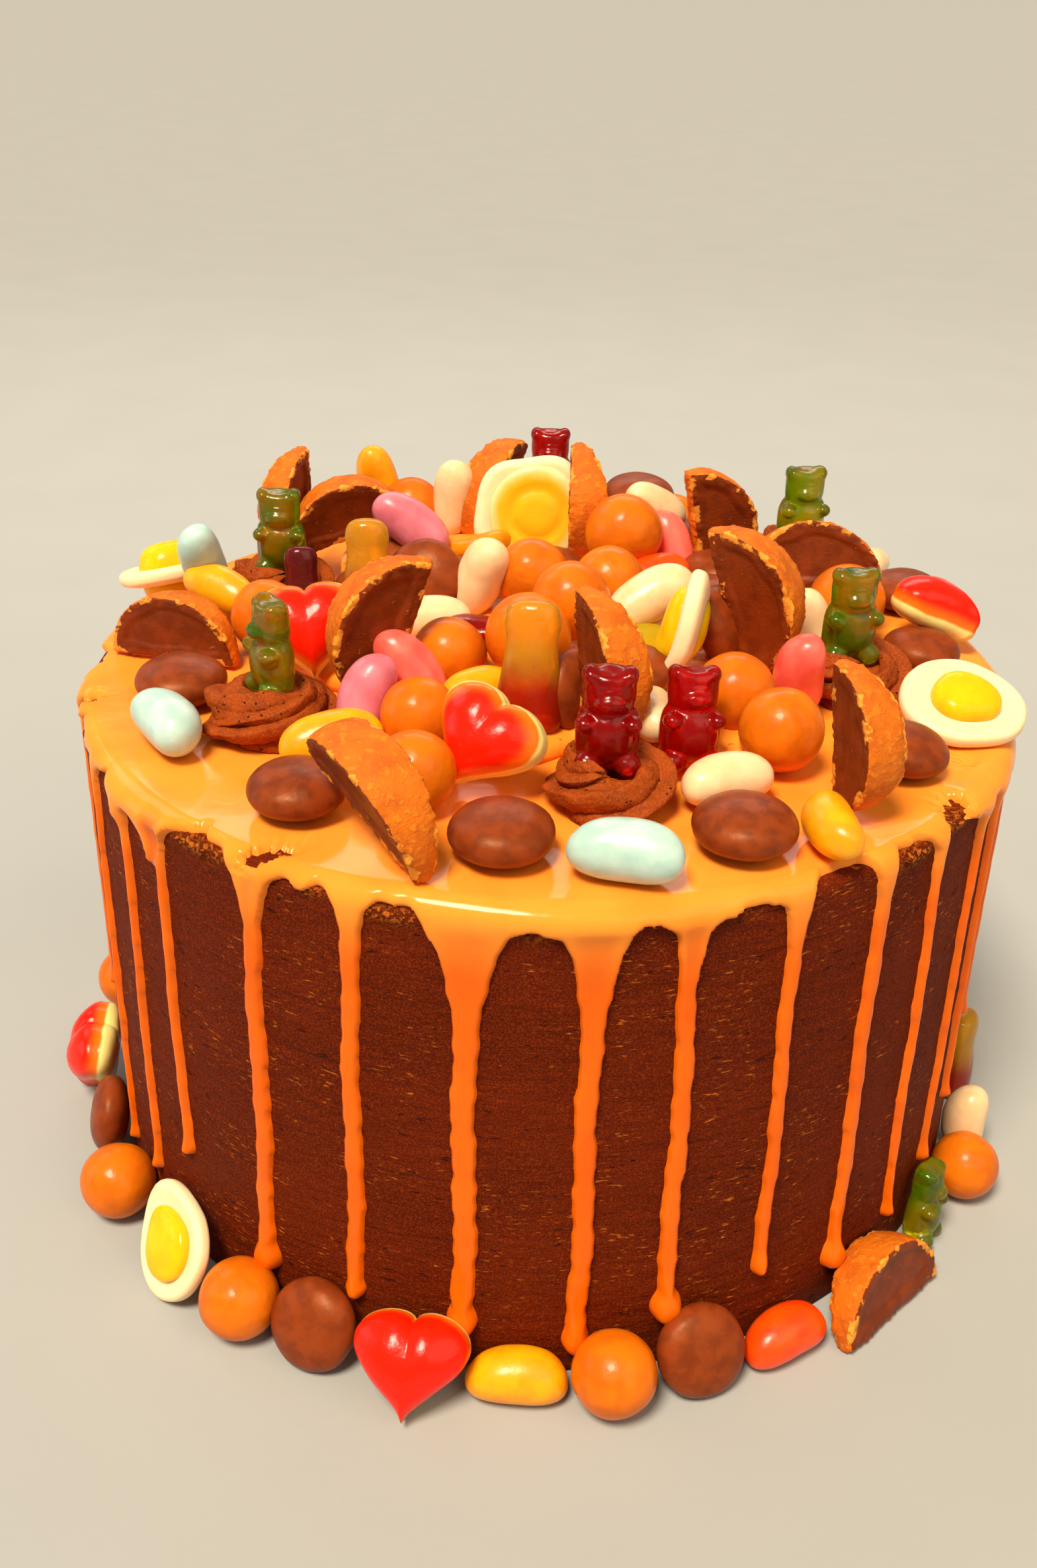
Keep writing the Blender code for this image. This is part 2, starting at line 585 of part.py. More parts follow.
def keep_outer_shell(target, look):
    """Sealed hollows and loose scraps are dropped, so that one closed body stays."""
    bm = bmesh.new()
    bm.from_mesh(target.data)
    left = set(bm.verts)
    shells = []
    while left:
        found = {left.pop()}
        edge_of_found = list(found)
        while edge_of_found:
            vertex = edge_of_found.pop()
            for edge in vertex.link_edges:
                other = edge.other_vert(vertex)
                if other not in found:
                    found.add(other)
                    edge_of_found.append(other)
        left -= found
        shells.append(found)
    shells.sort(key=lambda shell: max(v.co.x for v in shell) - min(v.co.x for v in shell))
    for shell in shells[:-1]:
        bmesh.ops.delete(bm, geom=list(shell), context="VERTS")
    name = target.name
    group = target.users_collection[0]
    bpy.data.objects.remove(target)
    return add(name, bm, look, group, smooth=35)


def look_of(name, kind):
    """The entry of LOOKS for a sweet."""
    colours = {"bean_blue_front": "bean_blue", "bean_blue_left": "bean_blue", "bean_yellow": "bean_yellow",
               "bean_1": "bean_yellow", "bean_2": "bean_orange"}
    if kind == "bean":
        return colours.get(name, "bean_white")
    return "bear_green" if kind == "bear" else kind


def main():
    for old in list(bpy.data.objects):
        bpy.data.objects.remove(old)

    cake = collection("drip_cake")
    add("frosting", frosting_solid(0), "frosting", cake)

    drips = collection("caramel_drips")
    for number, sizes in enumerate(DRIPS):
        add(f"drip_{number}", drip(*sizes), "caramel", drips)
    caramel = add("caramel", caramel_cap(), "caramel", cake)
    applied(caramel, "UNION", drips)
    inside = collection("frosting_room")
    cutter = add("frosting_cutter", frosting_solid(GAP), "frosting", inside)
    cutter.hide_render = True
    cutter.display_type = "WIRE"
    applied(caramel, "DIFFERENCE", inside)
    keep_outer_shell(caramel, "caramel")

    for (name, x, y, seat, turn, size), (_, bear_x, bear_y, bear_turn) in zip(SWIRLS, BEARS):
        bm = swirl(seat * MM)
        bm.transform(Matrix.Diagonal((size, size, 1, 1)))
        place = Matrix.Translation((x * MM, y * MM, CARAMEL_TOP + GAP)) @ turn_of((0, 0, turn))
        holder = add(f"swirl_{name}", bm, "cream", cake, place)
        look = "bear_red" if name in ("front", "back") else "bear_green"
        standing = Vector(((bear_x - x) * MM, (bear_y - y) * MM, GAP + seat * MM + BEAR_HEIGHT / 2))
        place = turn_of((0, 0, -turn)) @ Matrix.Translation(standing) @ turn_of((0, 0, bear_turn))
        add(f"bear_{name}", bear(), look, cake, place).parent = holder

    for name, kind, x, y, height, degrees, size in SINGLES:
        bm, place = laid(kind, x, y, height, degrees, size)
        add(name, bm, look_of(name, kind), cake, place)
    for name, kind, bearing, degrees, size in BORDER:
        bm, place = leaned(kind, bearing, degrees, size)
        add(f"border_{name}", bm, look_of(name, kind), cake, place)

    piled = collection("piled_sweets")
    for number, (kind, x, y, height, degrees, size) in enumerate(HEAP):
        bm, place = laid(kind, x, y, height, degrees, size)
        add(f"piled_{number}", bm, "sweets", piled, place)
    heap = add("sweet_heap", heap_core(), "sweets", cake)
    applied(heap, "UNION", piled)
    keep_outer_shell(heap, "sweets")


main()
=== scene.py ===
"""The looks of a chocolate drip cake dressed with sweets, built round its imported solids.

Metres, +Z up. The front is -Y, and a bearing is an angle in degrees from the front towards +X.
Each kind of sweet is shaped once, in its own frame, and copied to where its solid stands. The
sweets of the heap are laid on the caramel from their own list.
"""

from math import atan2, copysign, cos, degrees, exp, hypot, pi, radians, remainder, sin

import bmesh
import bpy
import numpy as np
from mathutils import Euler, Matrix, Vector, noise


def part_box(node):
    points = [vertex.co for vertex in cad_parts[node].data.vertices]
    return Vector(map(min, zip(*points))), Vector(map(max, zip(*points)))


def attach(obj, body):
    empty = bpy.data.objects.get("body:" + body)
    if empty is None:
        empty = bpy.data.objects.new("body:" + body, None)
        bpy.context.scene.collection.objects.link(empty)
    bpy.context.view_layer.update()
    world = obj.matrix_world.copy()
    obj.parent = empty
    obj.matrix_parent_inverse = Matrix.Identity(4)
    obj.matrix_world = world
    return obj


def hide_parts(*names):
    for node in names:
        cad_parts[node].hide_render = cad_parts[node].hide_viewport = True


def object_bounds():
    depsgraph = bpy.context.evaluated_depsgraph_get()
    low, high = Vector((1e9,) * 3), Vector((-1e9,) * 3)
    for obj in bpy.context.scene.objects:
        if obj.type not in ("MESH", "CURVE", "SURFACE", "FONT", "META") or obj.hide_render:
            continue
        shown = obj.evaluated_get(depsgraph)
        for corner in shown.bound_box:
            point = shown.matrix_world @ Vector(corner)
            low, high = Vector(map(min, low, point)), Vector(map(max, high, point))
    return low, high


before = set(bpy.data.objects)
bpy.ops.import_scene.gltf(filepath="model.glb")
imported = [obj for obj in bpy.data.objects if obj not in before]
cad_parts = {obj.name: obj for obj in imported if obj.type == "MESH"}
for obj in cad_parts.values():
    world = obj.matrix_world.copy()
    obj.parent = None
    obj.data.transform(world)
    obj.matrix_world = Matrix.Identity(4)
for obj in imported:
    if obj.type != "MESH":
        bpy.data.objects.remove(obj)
CAD_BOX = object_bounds()
SCENE = bpy.context.scene

MM = 0.001
GAP = 0.0003
BOX_MARGIN = 0.00001
SEAM_GAP = 1e-7

# The cake, from its solids
FOOT_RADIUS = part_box("frosting")[1].x
FROSTING_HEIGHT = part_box("frosting")[1].z
RIM_RADIUS = FOOT_RADIUS - 1 * MM
CARAMEL_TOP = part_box("caramel")[1].z

# The sweets
BALL_RADIUS = 8.3 * MM
BEAN_LENGTH, BEAN_WIDTH, BEAN_BEND = 21 * MM, 11.3 * MM, 1.6 * MM
LENTIL_RADIUS, LENTIL_THICKNESS = 9.8 * MM, 9.7 * MM
EGG_RADIUS, EGG_HEIGHT = 12.8 * MM, 8.2 * MM
HEART_WIDTH, HEART_THICKNESS = 24 * MM, 12.5 * MM
SEGMENT_LENGTH, SEGMENT_DEPTH, SEGMENT_PEEL, SEGMENT_EDGE = 34 * MM, 16.5 * MM, 11.2 * MM, 4 * MM
BOTTLE_HEIGHT, BOTTLE_WIDTH, BOTTLE_DEPTH = 27 * MM, 14.2 * MM, 8.8 * MM
ROPE_RADIUS, ROPE_RING, ROPE_RIDGES, ROPE_TURNS = 6.0 * MM, 8.0 * MM, 4, 1.62
ROPE_TWIST = 0.0886 * ROPE_RIDGES / (2 * pi) / MM
RIDGE_RISE, RIDGE_FALL = 0.72, 0.28
ROPE_STEPS, RIDGE_STEPS = 200, 24
JELLY_IOR = 1.36

# Each kind's slot in the record and its usual finishes, and the slots that go by colour
KINDS = {
    "ball": ("malt_ball", "malt_ball"), "lentil": ("choc_lentil", "lentil"),
    "segment": ("choc_segment", "peel", "face"), "heart": ("gummy_heart", "heart"),
    "egg": ("fried_egg_sweet", "foam", "yolk"), "bear": ("gummy_green", "green_bear"),
    "bottle": ("gummy_red", "cola"), "bean": ("jelly_bean_white", "bean_white"),
}

# How each sweet that is a solid of its own lies: size, turns about X, Y and Z where it is turned, and colour
# where that isn't the kind's usual one
SINGLES = {
    "bean_blue_front": (1.0, (0, 0, -9), "bean_blue"), "lentil_front": (1.0,), "lentil_front_right": (1.0,),
    "lentil_front_left": (0.97,), "lentil_right": (0.95, (0, 8, 0)),
    "bean_yellow": (0.85, (0, 0, 100), "bean_yellow"), "bean_white": (0.9, (0, 0, 24)),
    "bean_blue_left": (1.0, (0, 0, -54), "bean_blue"), "egg_right": (1.0, (20, 4, 0)),
    "heart_right": (0.95, (14, 20, 60)), "lentil_far_right": (0.9, (0, 4, 0)), "lentil_back_right": (0.95,),
    "lentil_left": (1.0,), "segment_left": (0.88, (-10, 0, -14)), "egg_left": (0.96, (-16, -6, 20)),
    "segment_front": (1.0, (13, 25, -45)), "bean_right_back": (0.75, (0, 10, 70)),
    "segment_right": (0.85, (0, 80, -60)), "bear_front": (1.0, (0, 0, 0), "red_bear"),
    "bear_left": (1.0, (0, 0, -60)), "bear_right": (1.0, (0, 0, 10)), "bear_right_back": (1.0, (0, 0, 10)),
    "bear_left_back": (1.0,), "bear_back": (1.0, (0, 0, 0), "red_bear"),
}
# The border: bearing, then as above, with the turns counted when the sweet's back is to the cake
BORDER = {
    "heart_1": (-79.5, 1.0, (80, 0, -3)), "lentil_1": (-68, 0.95, (80, 0, -9)), "ball_1": (-56.4, 1.02),
    "egg_1": (-43, 1.0, (60, -14, 0)), "ball_2": (-32.1, 1.02), "lentil_2": (-23.1, 0.98, (62, 0, -2)),
    "heart_2": (-11.3, 0.98, (55, 0, 3)), "bean_1": (-0.8, 1.0, (80, 0, 0), "bean_yellow"),
    "ball_3": (9.1, 1.04), "lentil_3": (18.7, 0.98, (62, 0, 3)),
    "bean_2": (29.1, 0.95, (60, 0, 6), "bean_orange"), "segment_1": (42.3, 0.95, (-24, 0, 3)),
    "bear_1": (55.1, 0.9, (0, 10, 5)), "ball_4": (65.2, 0.95), "bean_3": (72.6, 0.9, (0, -80, -3)),
    "bottle_1": (84.9, 0.9, (0, 0, -25)), "egg_2": (99, 1.0, (62, 0, 4)), "ball_5": (113, 1.02),
    "segment_2": (129, 0.92, (-26, 0, -4)), "lentil_4": (146, 0.98, (64, 0, 5)),
    "heart_3": (160, 0.96, (58, 0, -5)), "bean_4": (175, 1.0, (70, 0, 4)), "ball_6": (188, 1.0),
    "egg_3": (203, 0.98, (60, 0, -6)), "segment_3": (221, 0.92, (-22, 0, 5)),
    "lentil_5": (239, 0.95, (66, 0, 0)), "ball_7": (262, 1.0),
}
# The nodes whose sweet has a form other than the kind that their names begin with
FORMS = {"egg_left": "egg_domed", "border_egg_1": "egg_drop"}
# Swirls: node's name after "swirl_", turn of the rope's start
SWIRLS = {"front": 20, "left": 200, "right": 40, "right_back": 10, "left_back": 60, "back": 0}

# The heap: x, y and height of the middle over the caramel in mm, then as above
HEAP = {
    "ball": [
        (47, -52, 9.3, 1.02), (39, -37, 10, 1.02), (-24, -72, 8.3, 0.95), (-25, -50, 9, 0.95),
        (-21, -22, 10, 1.0), (-4, -22, 15, 1.12), (5, -11, 19, 1.05), (14, 9, 16, 1.0), (-4, 12, 16, 1.03),
        (18, 34, 19, 1.15), (33, 72, 8.6, 1.0), (-36, 58, 16, 0.95), (70, 13, 11, 1.08), (-64, -1, 9, 1.0),
    ],
    "heart": [
        (-11.5, -65, 12, 0.94, (55, 20, -34), "pale_heart"),
        (-52, -16, 13, 1.0, (55, -5, 10), "pale_heart"), (-44, 70, 9.5, 0.9, (40, 0, 0)),
    ],
    "bottle": [
        (-3, -42, 17, 1.0, (-12, 0, -5)), (-42, 9, 17, 0.9, (-8, 0, 0)),
        (-58, 13, 11, 0.7, (-15, 0, 10), "plum_jelly"), (17, -11, 10, 0.8, (80, 10, -70), "lime_jelly"),
        (-20, 35, 14, 0.85, (70, 0, 60), "orange_jelly"), (57, 32, 12, 0.7, (-20, 0, 0), "plum_jelly"),
        (-12, -8, 10, 0.8, (85, 0, 80), "red_bear"),
    ],
    "segment": [
        (-36, -30, 19, 1.0, (0, -72, 18)), (12, -47, 18, 0.95, (0, 82, -55)),
        (-52, 47, 18, 0.9, (0, -15, 15)), (-66, 49, 18, 0.85, (0, -90, 60)),
        (-15, 58, 20, 0.95, (0, -60, 60)), (8, 46, 20, 0.95, (0, 88, -78)), (42, 44, 18, 0.95, (0, 80, 22)),
        (46, -10, 20, 1.0, (0, 72, -25)), (64, 26, 16, 1.0, (-25, 6, -5)),
    ],
    "egg_dished": [(-4, 44, 20, 1.18, (72, 0, 0), "ringed_yolk")],
    "egg_bent": [(29, -18, 16, 1.0, (0, -78, -12))],
    "bean": [
        (23, -1, 16, 1.05, (0, -25, 20)), (-16, 9, 16, 1.0, (0, -68, -20)), (-27, -3, 10, 0.95, (0, 0, 15)),
        (-25, 55, 20, 0.95, (0, -85, 0)), (26, 47, 22, 0.85, (0, 30, 20)),
        (-36, -46, 10, 0.95, (0, -60, 60), "bean_mauve"), (-28, -35, 12, 0.95, (0, 45, -30), "bean_pink"),
        (-34, 33, 20, 1.0, (0, 35, -10), "bean_mauve"), (-42, -56, 6, 1.0, (0, -8, 15), "bean_yellow"),
        (-45, 62, 22, 0.9, (0, 75, 20), "bean_yellow"), (-14, -37, 9, 0.8, (0, 0, 30), "bean_yellow"),
        (54, -28, 11, 0.95, (0, 70, 80), "bean_pink"), (30, 39, 14, 0.9, (0, 60, -60), "bean_pink"),
        (26, 26, 12, 0.8, (0, 0, 30), "bean_orange"), (22, -44, 8, 0.8, (0, 0, 90)),
        (61, 6, 9, 0.8, (0, 70, 0)), (-76, 7, 12, 0.9, (0, 15, -25), "bean_yellow"),
        (-81, 13, 18, 0.9, (0, 60, 80), "bean_blue"),
    ],
    "lentil": [
        (-29, 10, 15, 0.95, (60, 0, -10)), (-37, 34, 12, 0.9, (20, 0, 0)), (39, -6, 12, 0.95, (70, 0, 70)),
        (23, 68, 18, 0.95, (10, 0, 0)), (6, -38, 10, 0.9, (80, 0, 60)), (18, -26, 9, 0.95, (6, -5, 0)),
        (40, 14, 11, 0.95, (-4, 8, 0)), (0, 26, 12, 0.95, (7, 3, 0)), (-22, 22, 11, 0.95, (-5, 4, 0)),
        (42, 32, 11, 0.95), (16, 56, 13, 0.95), (-42, 20, 9, 0.95), (34, 54, 11, 0.95),
    ],
    "bear": [(29, -53, 12, 1.0, (-10, 3, 10), "red_bear")],
}
# The mound that the heap lies on: (bearing, how far it reaches in mm)
MOUND_OUTLINE = [
    (8, 46), (24, 56), (42, 70), (56, 62), (65, 60), (80, 47), (100, 66), (118, 66), (133, 62), (155, 83),
    (180, 56), (206, 83), (214, 84), (228, 72), (246, 50), (268, 66), (288, 54), (306, 46), (322, 64),
    (341, 60), (351, 58),
]
MOUND_HEIGHT, MOUND_RISE = 7 * MM, 0.09

# Drips, in degrees and mm: bearing at the rim and at the end, height of the end, width of the stream,
# width of the funnel under the rim, how far the funnel reaches down, width of the end
DRIPS = [
    (-61.6, -62.7, 8, 1.8, 5, 8, 2.6), (-54, -53, 104, 3.4, 8, 6, 3.2), (-52.1, -53, 13, 2.2, 4, 6, 3.0),
    (-46.8, -45.4, 100.5, 2.6, 11, 11, 2.8), (-44.6, -44.3, 28.5, 2.6, 6, 8, 3.2),
    (-30.3, -31.2, 10.5, 4.1, 11, 12, 6.6), (-18.8, -19.4, 13, 3.9, 7.5, 12, 4.3),
    (-6.9, -7, 9, 5.0, 19, 27, 6.6), (5.7, 5.6, 5.5, 4.5, 15, 27, 5.8),
    (15.2, 15.5, 11.5, 4.0, 10, 12, 7.0), (26.5, 27, 18, 3.3, 7, 11, 3.6),
    (37.8, 38.2, 9.5, 3.5, 6, 9, 6.2), (47.3, 48.2, 12.5, 2.6, 4, 7, 3.4),
    (57.6, 57.2, 17.5, 2.4, 5, 8, 3.2), (63, 63.3, 27.8, 2.2, 7, 12, 3.0), (77, 77.5, 33, 2.2, 7, 12, 3.0),
    (93, 92.5, 19, 2.8, 8, 16, 3.6), (109, 109.5, 24, 2.2, 6, 12, 3.0), (124, 124.5, 35, 3.4, 11, 20, 4.2),
    (141, 140.5, 21, 2.4, 7, 14, 3.2), (156, 156, 29, 3.8, 13, 24, 4.6), (172, 172.5, 23, 2.2, 6, 12, 3.0),
    (190, 190, 20, 3.0, 9, 18, 3.8), (207, 206.5, 32, 2.6, 8, 14, 3.4), (224, 224.5, 24, 3.6, 12, 22, 4.4),
    (243, 242.5, 27, 2.4, 7, 14, 3.2), (262, 262, 21, 2.6, 8, 16, 3.4), (281, 281, 32, 2.2, 6, 12, 2.8),
]
# How far the caramel's hem hangs below the rim between the drips, as bearing and mm, every 120 degrees anew
HEM = [
    (-60, 2.5), (-56.7, 1.2), (-55.5, 3), (-51, 3.4), (-46, 3.5), (-42.5, 2.2), (-41, 0.9), (-39, 0),
    (-38, -0.8), (-37, 0.2), (-35, 0.2), (-33, 2), (-27, 2.2), (-26, 1.3), (-23.5, 2.6), (-22.2, 0.8),
    (-20, 2.2), (-17, 2.4), (-15.5, 1.4), (-12, 1.7), (-9, 3), (-2, 4.4), (0, 3.6), (1.5, 4.4), (9, 2.8),
    (11.5, 2.4), (13, 3.4), (18, 3.2), (20.8, 1.9), (23, 2.1), (24.5, 3), (28.5, 1), (30, -1), (33, -0.8),
    (34.5, -1.1), (35.8, 0), (38, 2), (40, 0.2), (43, 0.7), (44, 0.5), (47, 2.5), (49, 0.9), (52, 1.5),
    (55, 3),
]
# Where the caramel runs thin: bearing, width, from and to how far below the rim, in mm, and how thin
FILMS = [
    (-45, 5, 3, 11, 0.9), (-30.3, 3, 4, 9, 0.2), (-6.7, 11, 6, 22, 0.35), (5.6, 8, 5, 18, 0.35),
    (15.2, 4, 5, 14, 0.4), (124, 5, 5, 14, 0.35), (156, 7, 6, 18, 0.4), (224, 6, 5, 16, 0.35),
]
# Crumbly ledges of the frosting under the hem: bearing, half their width in degrees, height in mm, how strong
LEDGES = [
    (-38, 4, 110.5, 1), (-23, 1.5, 110.5, 0.6), (-14.5, 3, 109, 1), (0, 1.5, 108, 0.5),
    (21, 1.5, 109.5, 0.4), (42.5, 3, 110, 1.2), (50, 3, 111, 1.2), (82, 4, 110, 1), (101, 3, 109, 0.8),
    (133, 4, 110, 1), (165, 3, 109, 0.8), (199, 4, 110, 1), (234, 3, 110, 0.8), (252, 4, 110, 1),
    (292, 3, 109, 0.7),
]
# Where the caramel is torn open near the rim: bearing, mm in from the rim, length, width and degrees aslant
TEARS = [
    (-29, 3, 8.5, 2.6, -35), (51.5, 1.5, 8, 4, -15), (-75, 2.5, 3.5, 2.0, 0), (62.9, 6.5, 3.0, 1.2, 0),
]

# The camera, as fitted to the photograph: its place in metres, and its turns in degrees about Z, X and Z
CAMERA_PLACE = (0, -0.3233, 0.2574)
CAMERA_TURNS = (1.02, 61.37, 1.27)

# The skins, in mm: how thick the caramel is on top and on the side, and how wide its rounded edge is,
# the radius of the frosting's corner, and how far below the corner's start the rim lies
CARAMEL_COLUMNS, FROSTING_COLUMNS = 1600, 840
CARAMEL_FLAT, CARAMEL_SIDE, CARAMEL_EDGE = 2.0, 1.55, 1.5
CORNER_RADIUS = 2.5
RIM_DEPTH = 1.2

# Colours of the clear sweets: deep and pale, how clear, roughness; the beans: shell and deeper patches
JELLIES = {
    "yolk": ((0.95, 0.44, 0.003), (0.98, 0.53, 0.006), 0.0, 0.22),
    "green_bear": ((0.12, 0.28, 0.001), (0.46, 0.30, 0.002), 0.75),
    "red_bear": ((0.40, 0.002, 0.001), (0.50, 0.004, 0.002), 0.7),
    "plum_jelly": ((0.14, 0.008, 0.010), (0.24, 0.018, 0.018), 0.6),
    "lime_jelly": ((0.80, 0.60, 0.01), (0.90, 0.70, 0.02), 0.6),
    "orange_jelly": ((0.95, 0.30, 0.004), (0.98, 0.40, 0.008), 0.4),
}
BEANS = {
    "bean_blue": ((0.52, 0.68, 0.62), (0.40, 0.58, 0.52)),
    "bean_yellow": ((0.97, 0.40, 0.002), (0.93, 0.30, 0.002)),
    "bean_white": ((0.90, 0.64, 0.37), (0.86, 0.55, 0.28)),
    "bean_orange": ((0.97, 0.08, 0.001), (0.92, 0.05, 0.001)),
    "bean_pink": ((0.95, 0.15, 0.105), (0.88, 0.090, 0.065)),
    "bean_mauve": ((0.74, 0.20, 0.25), (0.60, 0.13, 0.17)),
}
# Lights, in metres, degrees and watts
KEY_LIGHT = (-28, 62, 4.8, 18, (1.0, 0.90, 0.70))
FILL_LIGHT = (50, 40, 0.9, 50, (1.0, 0.88, 0.66))
BACK_LIGHT = ((0, 0.74, 0.647), (0.7, 0.15), 1.5, (1.0, 0.95, 0.85))
WINDOW_LIGHT = ((-0.65, 0.5, 0.7), (0.35, 0.35), 0.8, (0.8, 0.9, 1.0))
LEFT_LIGHT = ((-0.8, -0.05, 0.3), (0.4, 0.4), 0.7, (0.8, 0.9, 1.0))
SKY_COLOUR, SKY_STRENGTH = (1.0, 0.93, 0.80, 1), 0.27


# Finishes

FINISHES = {}


class Finish:
    """A Principled material whose colour, roughness and relief come from patterns.

    The glow is the weight, depth and colour of the light that comes through, and the coat is a clear
    one's weight and roughness.
    """

    def __init__(self, name, roughness, specular=0.5, glow=(), coat=(), **others):
        FINISHES[name] = material = bpy.data.materials.new(name)
        material.use_nodes = True
        self.nodes, self.links = material.node_tree.nodes, material.node_tree.links
        self.shader = self.nodes["Principled BSDF"]
        self.colour = self.height = None
        values = {"Roughness": roughness, "Specular IOR Level": specular}
        values.update(zip(("Subsurface Weight", "Subsurface Scale", "Subsurface Radius"), glow))
        values.update(zip(("Coat Weight", "Coat Roughness"), coat))
        values.update((socket.replace("_", " "), value) for socket, value in others.items())
        for socket, value in values.items():
            self.shader.inputs[socket].default_value = value

    def node(self, kind, output, inputs, **settings):
        """A new node's output; each input is a value or another node's output."""
        made = self.nodes.new(f"ShaderNode{kind}")
        for name, value in settings.items():
            setattr(made, name, value)
        for name, value in inputs.items():
            if isinstance(value, bpy.types.NodeSocket):
                self.links.new(value, made.inputs[name])
            else:
                made.inputs[name].default_value = value
        return made.outputs[output]

    def attribute(self, name, output="Fac"):
        return self.node("Attribute", output, {}, attribute_name=name)

    def place(self, own, stretch=(1, 1, 1)):
        """The place on the cake, or on the sweet itself."""
        source = self.attribute("own", "Vector") if own else self.node("TexCoord", "Object", {})
        return self.node("Mapping", "Vector", {"Vector": source, "Scale": stretch})

    def axis(self, letter, own=False):
        return self.node("SeparateXYZ", letter, {"Vector": self.place(own)})

    def grain(self, size, detail=3, stretch=(1, 1, 1), lacunarity=2.0):
        """Noise from 0 to 1 with patches of about that size in mm."""
        return self.node("TexNoise", "Fac", {"Vector": self.place(False, stretch), "Scale": 1 / (size * MM),
                                             "Detail": detail, "Lacunarity": lacunarity})

    def cells(self, size):
        return self.node("TexVoronoi", "Distance", {"Vector": self.place(False), "Scale": 1 / (size * MM)})

    def stepped(self, value, low, high):
        """The value spread to 0 at low and 1 at high."""
        return self.node("MapRange", "Result", {"Value": value, "From Min": low, "From Max": high},
                         interpolation_type="SMOOTHSTEP")

    def patches(self, size, detail, low, high, stretch=(1, 1, 1)):
        return self.stepped(self.grain(size, detail, stretch), low, high)

    def times(self, a, b, operation="MULTIPLY"):
        return self.node("Math", 0, {0: a, 1: b}, operation=operation)

    def mixed(self, share, a, b):
        """A colour between two, each a colour or an output."""
        a, b = ((*one, 1) if isinstance(one, tuple) else one for one in (a, b))
        return self.node("Mix", 2, {"Factor": share, 6: a, 7: b}, data_type="RGBA")

    def paint(self, share, a, b):
        self.colour = self.mixed(share, a, b)
        self.links.new(self.colour, self.shader.inputs["Base Color"])

    def over(self, share, colour, strength=1):
        """One more colour over what is painted."""
        self.paint(self.times(share, strength) if strength < 1 else share, self.colour, colour)

    def rough(self, share, low, high):
        spread = self.node("MapRange", "Result", {"Value": share, "To Min": low, "To Max": high})
        self.links.new(spread, self.shader.inputs["Roughness"])

    def edge_crumbs(self, least):
        """Crumbs that cling in patches along a cut edge."""
        ragged = self.times(self.grain(0.9, 6), self.attribute("edge"))
        return self.stepped(self.times(ragged, self.patches(5, 3, 0.42, 0.62)), least, least + 0.12)

    def relief(self, value, depth):
        """Bumps as deep as that many mm where the value goes from 0 to 1."""
        below = {"Normal": self.height} if self.height else {}
        self.height = self.node("Bump", "Normal", {"Height": value, "Distance": depth * MM, **below})
        self.links.new(self.height, self.shader.inputs["Normal"])

    def bumps(self, *layers):
        """Relief from grain: each layer's size, detail and depth."""
        for size, detail, depth in layers:
            self.relief(self.grain(size, detail), depth)


def plain_finish(name, roughness, specular, glow, share, colours, *bumps):
    """A finish of two colours mixed by grain, or by patches where more than its size and detail are given."""
    look = Finish(name, roughness, specular, glow)
    look.paint(look.patches(*share) if len(share) > 2 else look.grain(*share), *colours)
    look.bumps(*bumps)


def ganache_finish():
    """Dark set ganache: matte, finely grained with painted sparkle highlights, with golden scraper marks,
    torn crumbly ledges, and pits and grooves painted dark as shade.
    """
    look = Finish("ganache", 0.62, 0.05)
    look.paint(look.patches(24, 4, 0.35, 0.65), (0.104, 0.0095, 0.0010), (0.082, 0.0078, 0.0009))
    # Painted highlight: the fine lighter specks stand in for tiny sparkles of light on the grain
    look.over(look.patches(0.35, 2, 0.42, 0.70), (0.26, 0.034, 0.004), 0.6)
    drawn = look.times(look.grain(1.0, 3, (0.42, 0.42, 1.9)), look.patches(14, 3, 0.25, 0.55))
    dashes = look.stepped(drawn, 0.60, 0.70)
    look.over(dashes, (0.55, 0.135, 0.010), 0.8)
    # Painted shade: the thin sunken grooves and the pits are darkened where shade falls in them
    grooves_painted_dark = look.patches(2.2, 2, 0.70, 0.74, (0.06, 0.06, 2.0))
    look.over(grooves_painted_dark, (0.060, 0.006, 0.002), 0.4)
    pits_painted_dark = look.patches(1.5, 2, 0.68, 0.73, (0.4, 0.4, 1.2))
    look.over(pits_painted_dark, (0.040, 0.005, 0.002), 0.8)
    crumbs = look.times(look.attribute("torn"), look.patches(0.8, 3, 0.42, 0.60))
    look.over(crumbs, (0.50, 0.120, 0.012))
    look.rough(look.grain(3), 0.5, 0.75)
    look.bumps((0.4, 3, 0.2))
    look.relief(look.grain(3.5, 3, (0.4, 0.4, 1.6)), 0.5)
    look.relief(dashes, 0.15)
    look.relief(look.times(look.times(pits_painted_dark, grooves_painted_dark, "MAXIMUM"), -1.0), 0.3)
    look.relief(crumbs, 0.4)


def caramel_finish():
    """Set salted caramel: smooth and wet looking, deeper in colour down the side and browner where thin; its
    lighter top is partly a painted sheen of light on the top.
    """
    look = Finish("caramel", 0.15, 0.12, (0.2, 2 * MM, (1.0, 0.35, 0.08)), (0.1, 0.1))
    cloudy = look.patches(14, 3, 0.3, 0.7)
    # Partly painted light: the top colour is lighter than the side partly from thicker caramel and partly as
    # a painted sheen of the light on the top
    above = look.mixed(cloudy, (0.97, 0.305, 0.032), (0.95, 0.255, 0.022))
    below = look.mixed(cloudy, (0.85, 0.145, 0.002), (0.81, 0.117, 0.001))
    look.paint(look.stepped(look.axis("Z"), FROSTING_HEIGHT, FROSTING_HEIGHT - 16 * MM), above, below)
    look.over(look.attribute("film"), (0.62, 0.085, 0.005))
    look.bumps((6, 2, 0.10), (1.1, 2, 0.012))


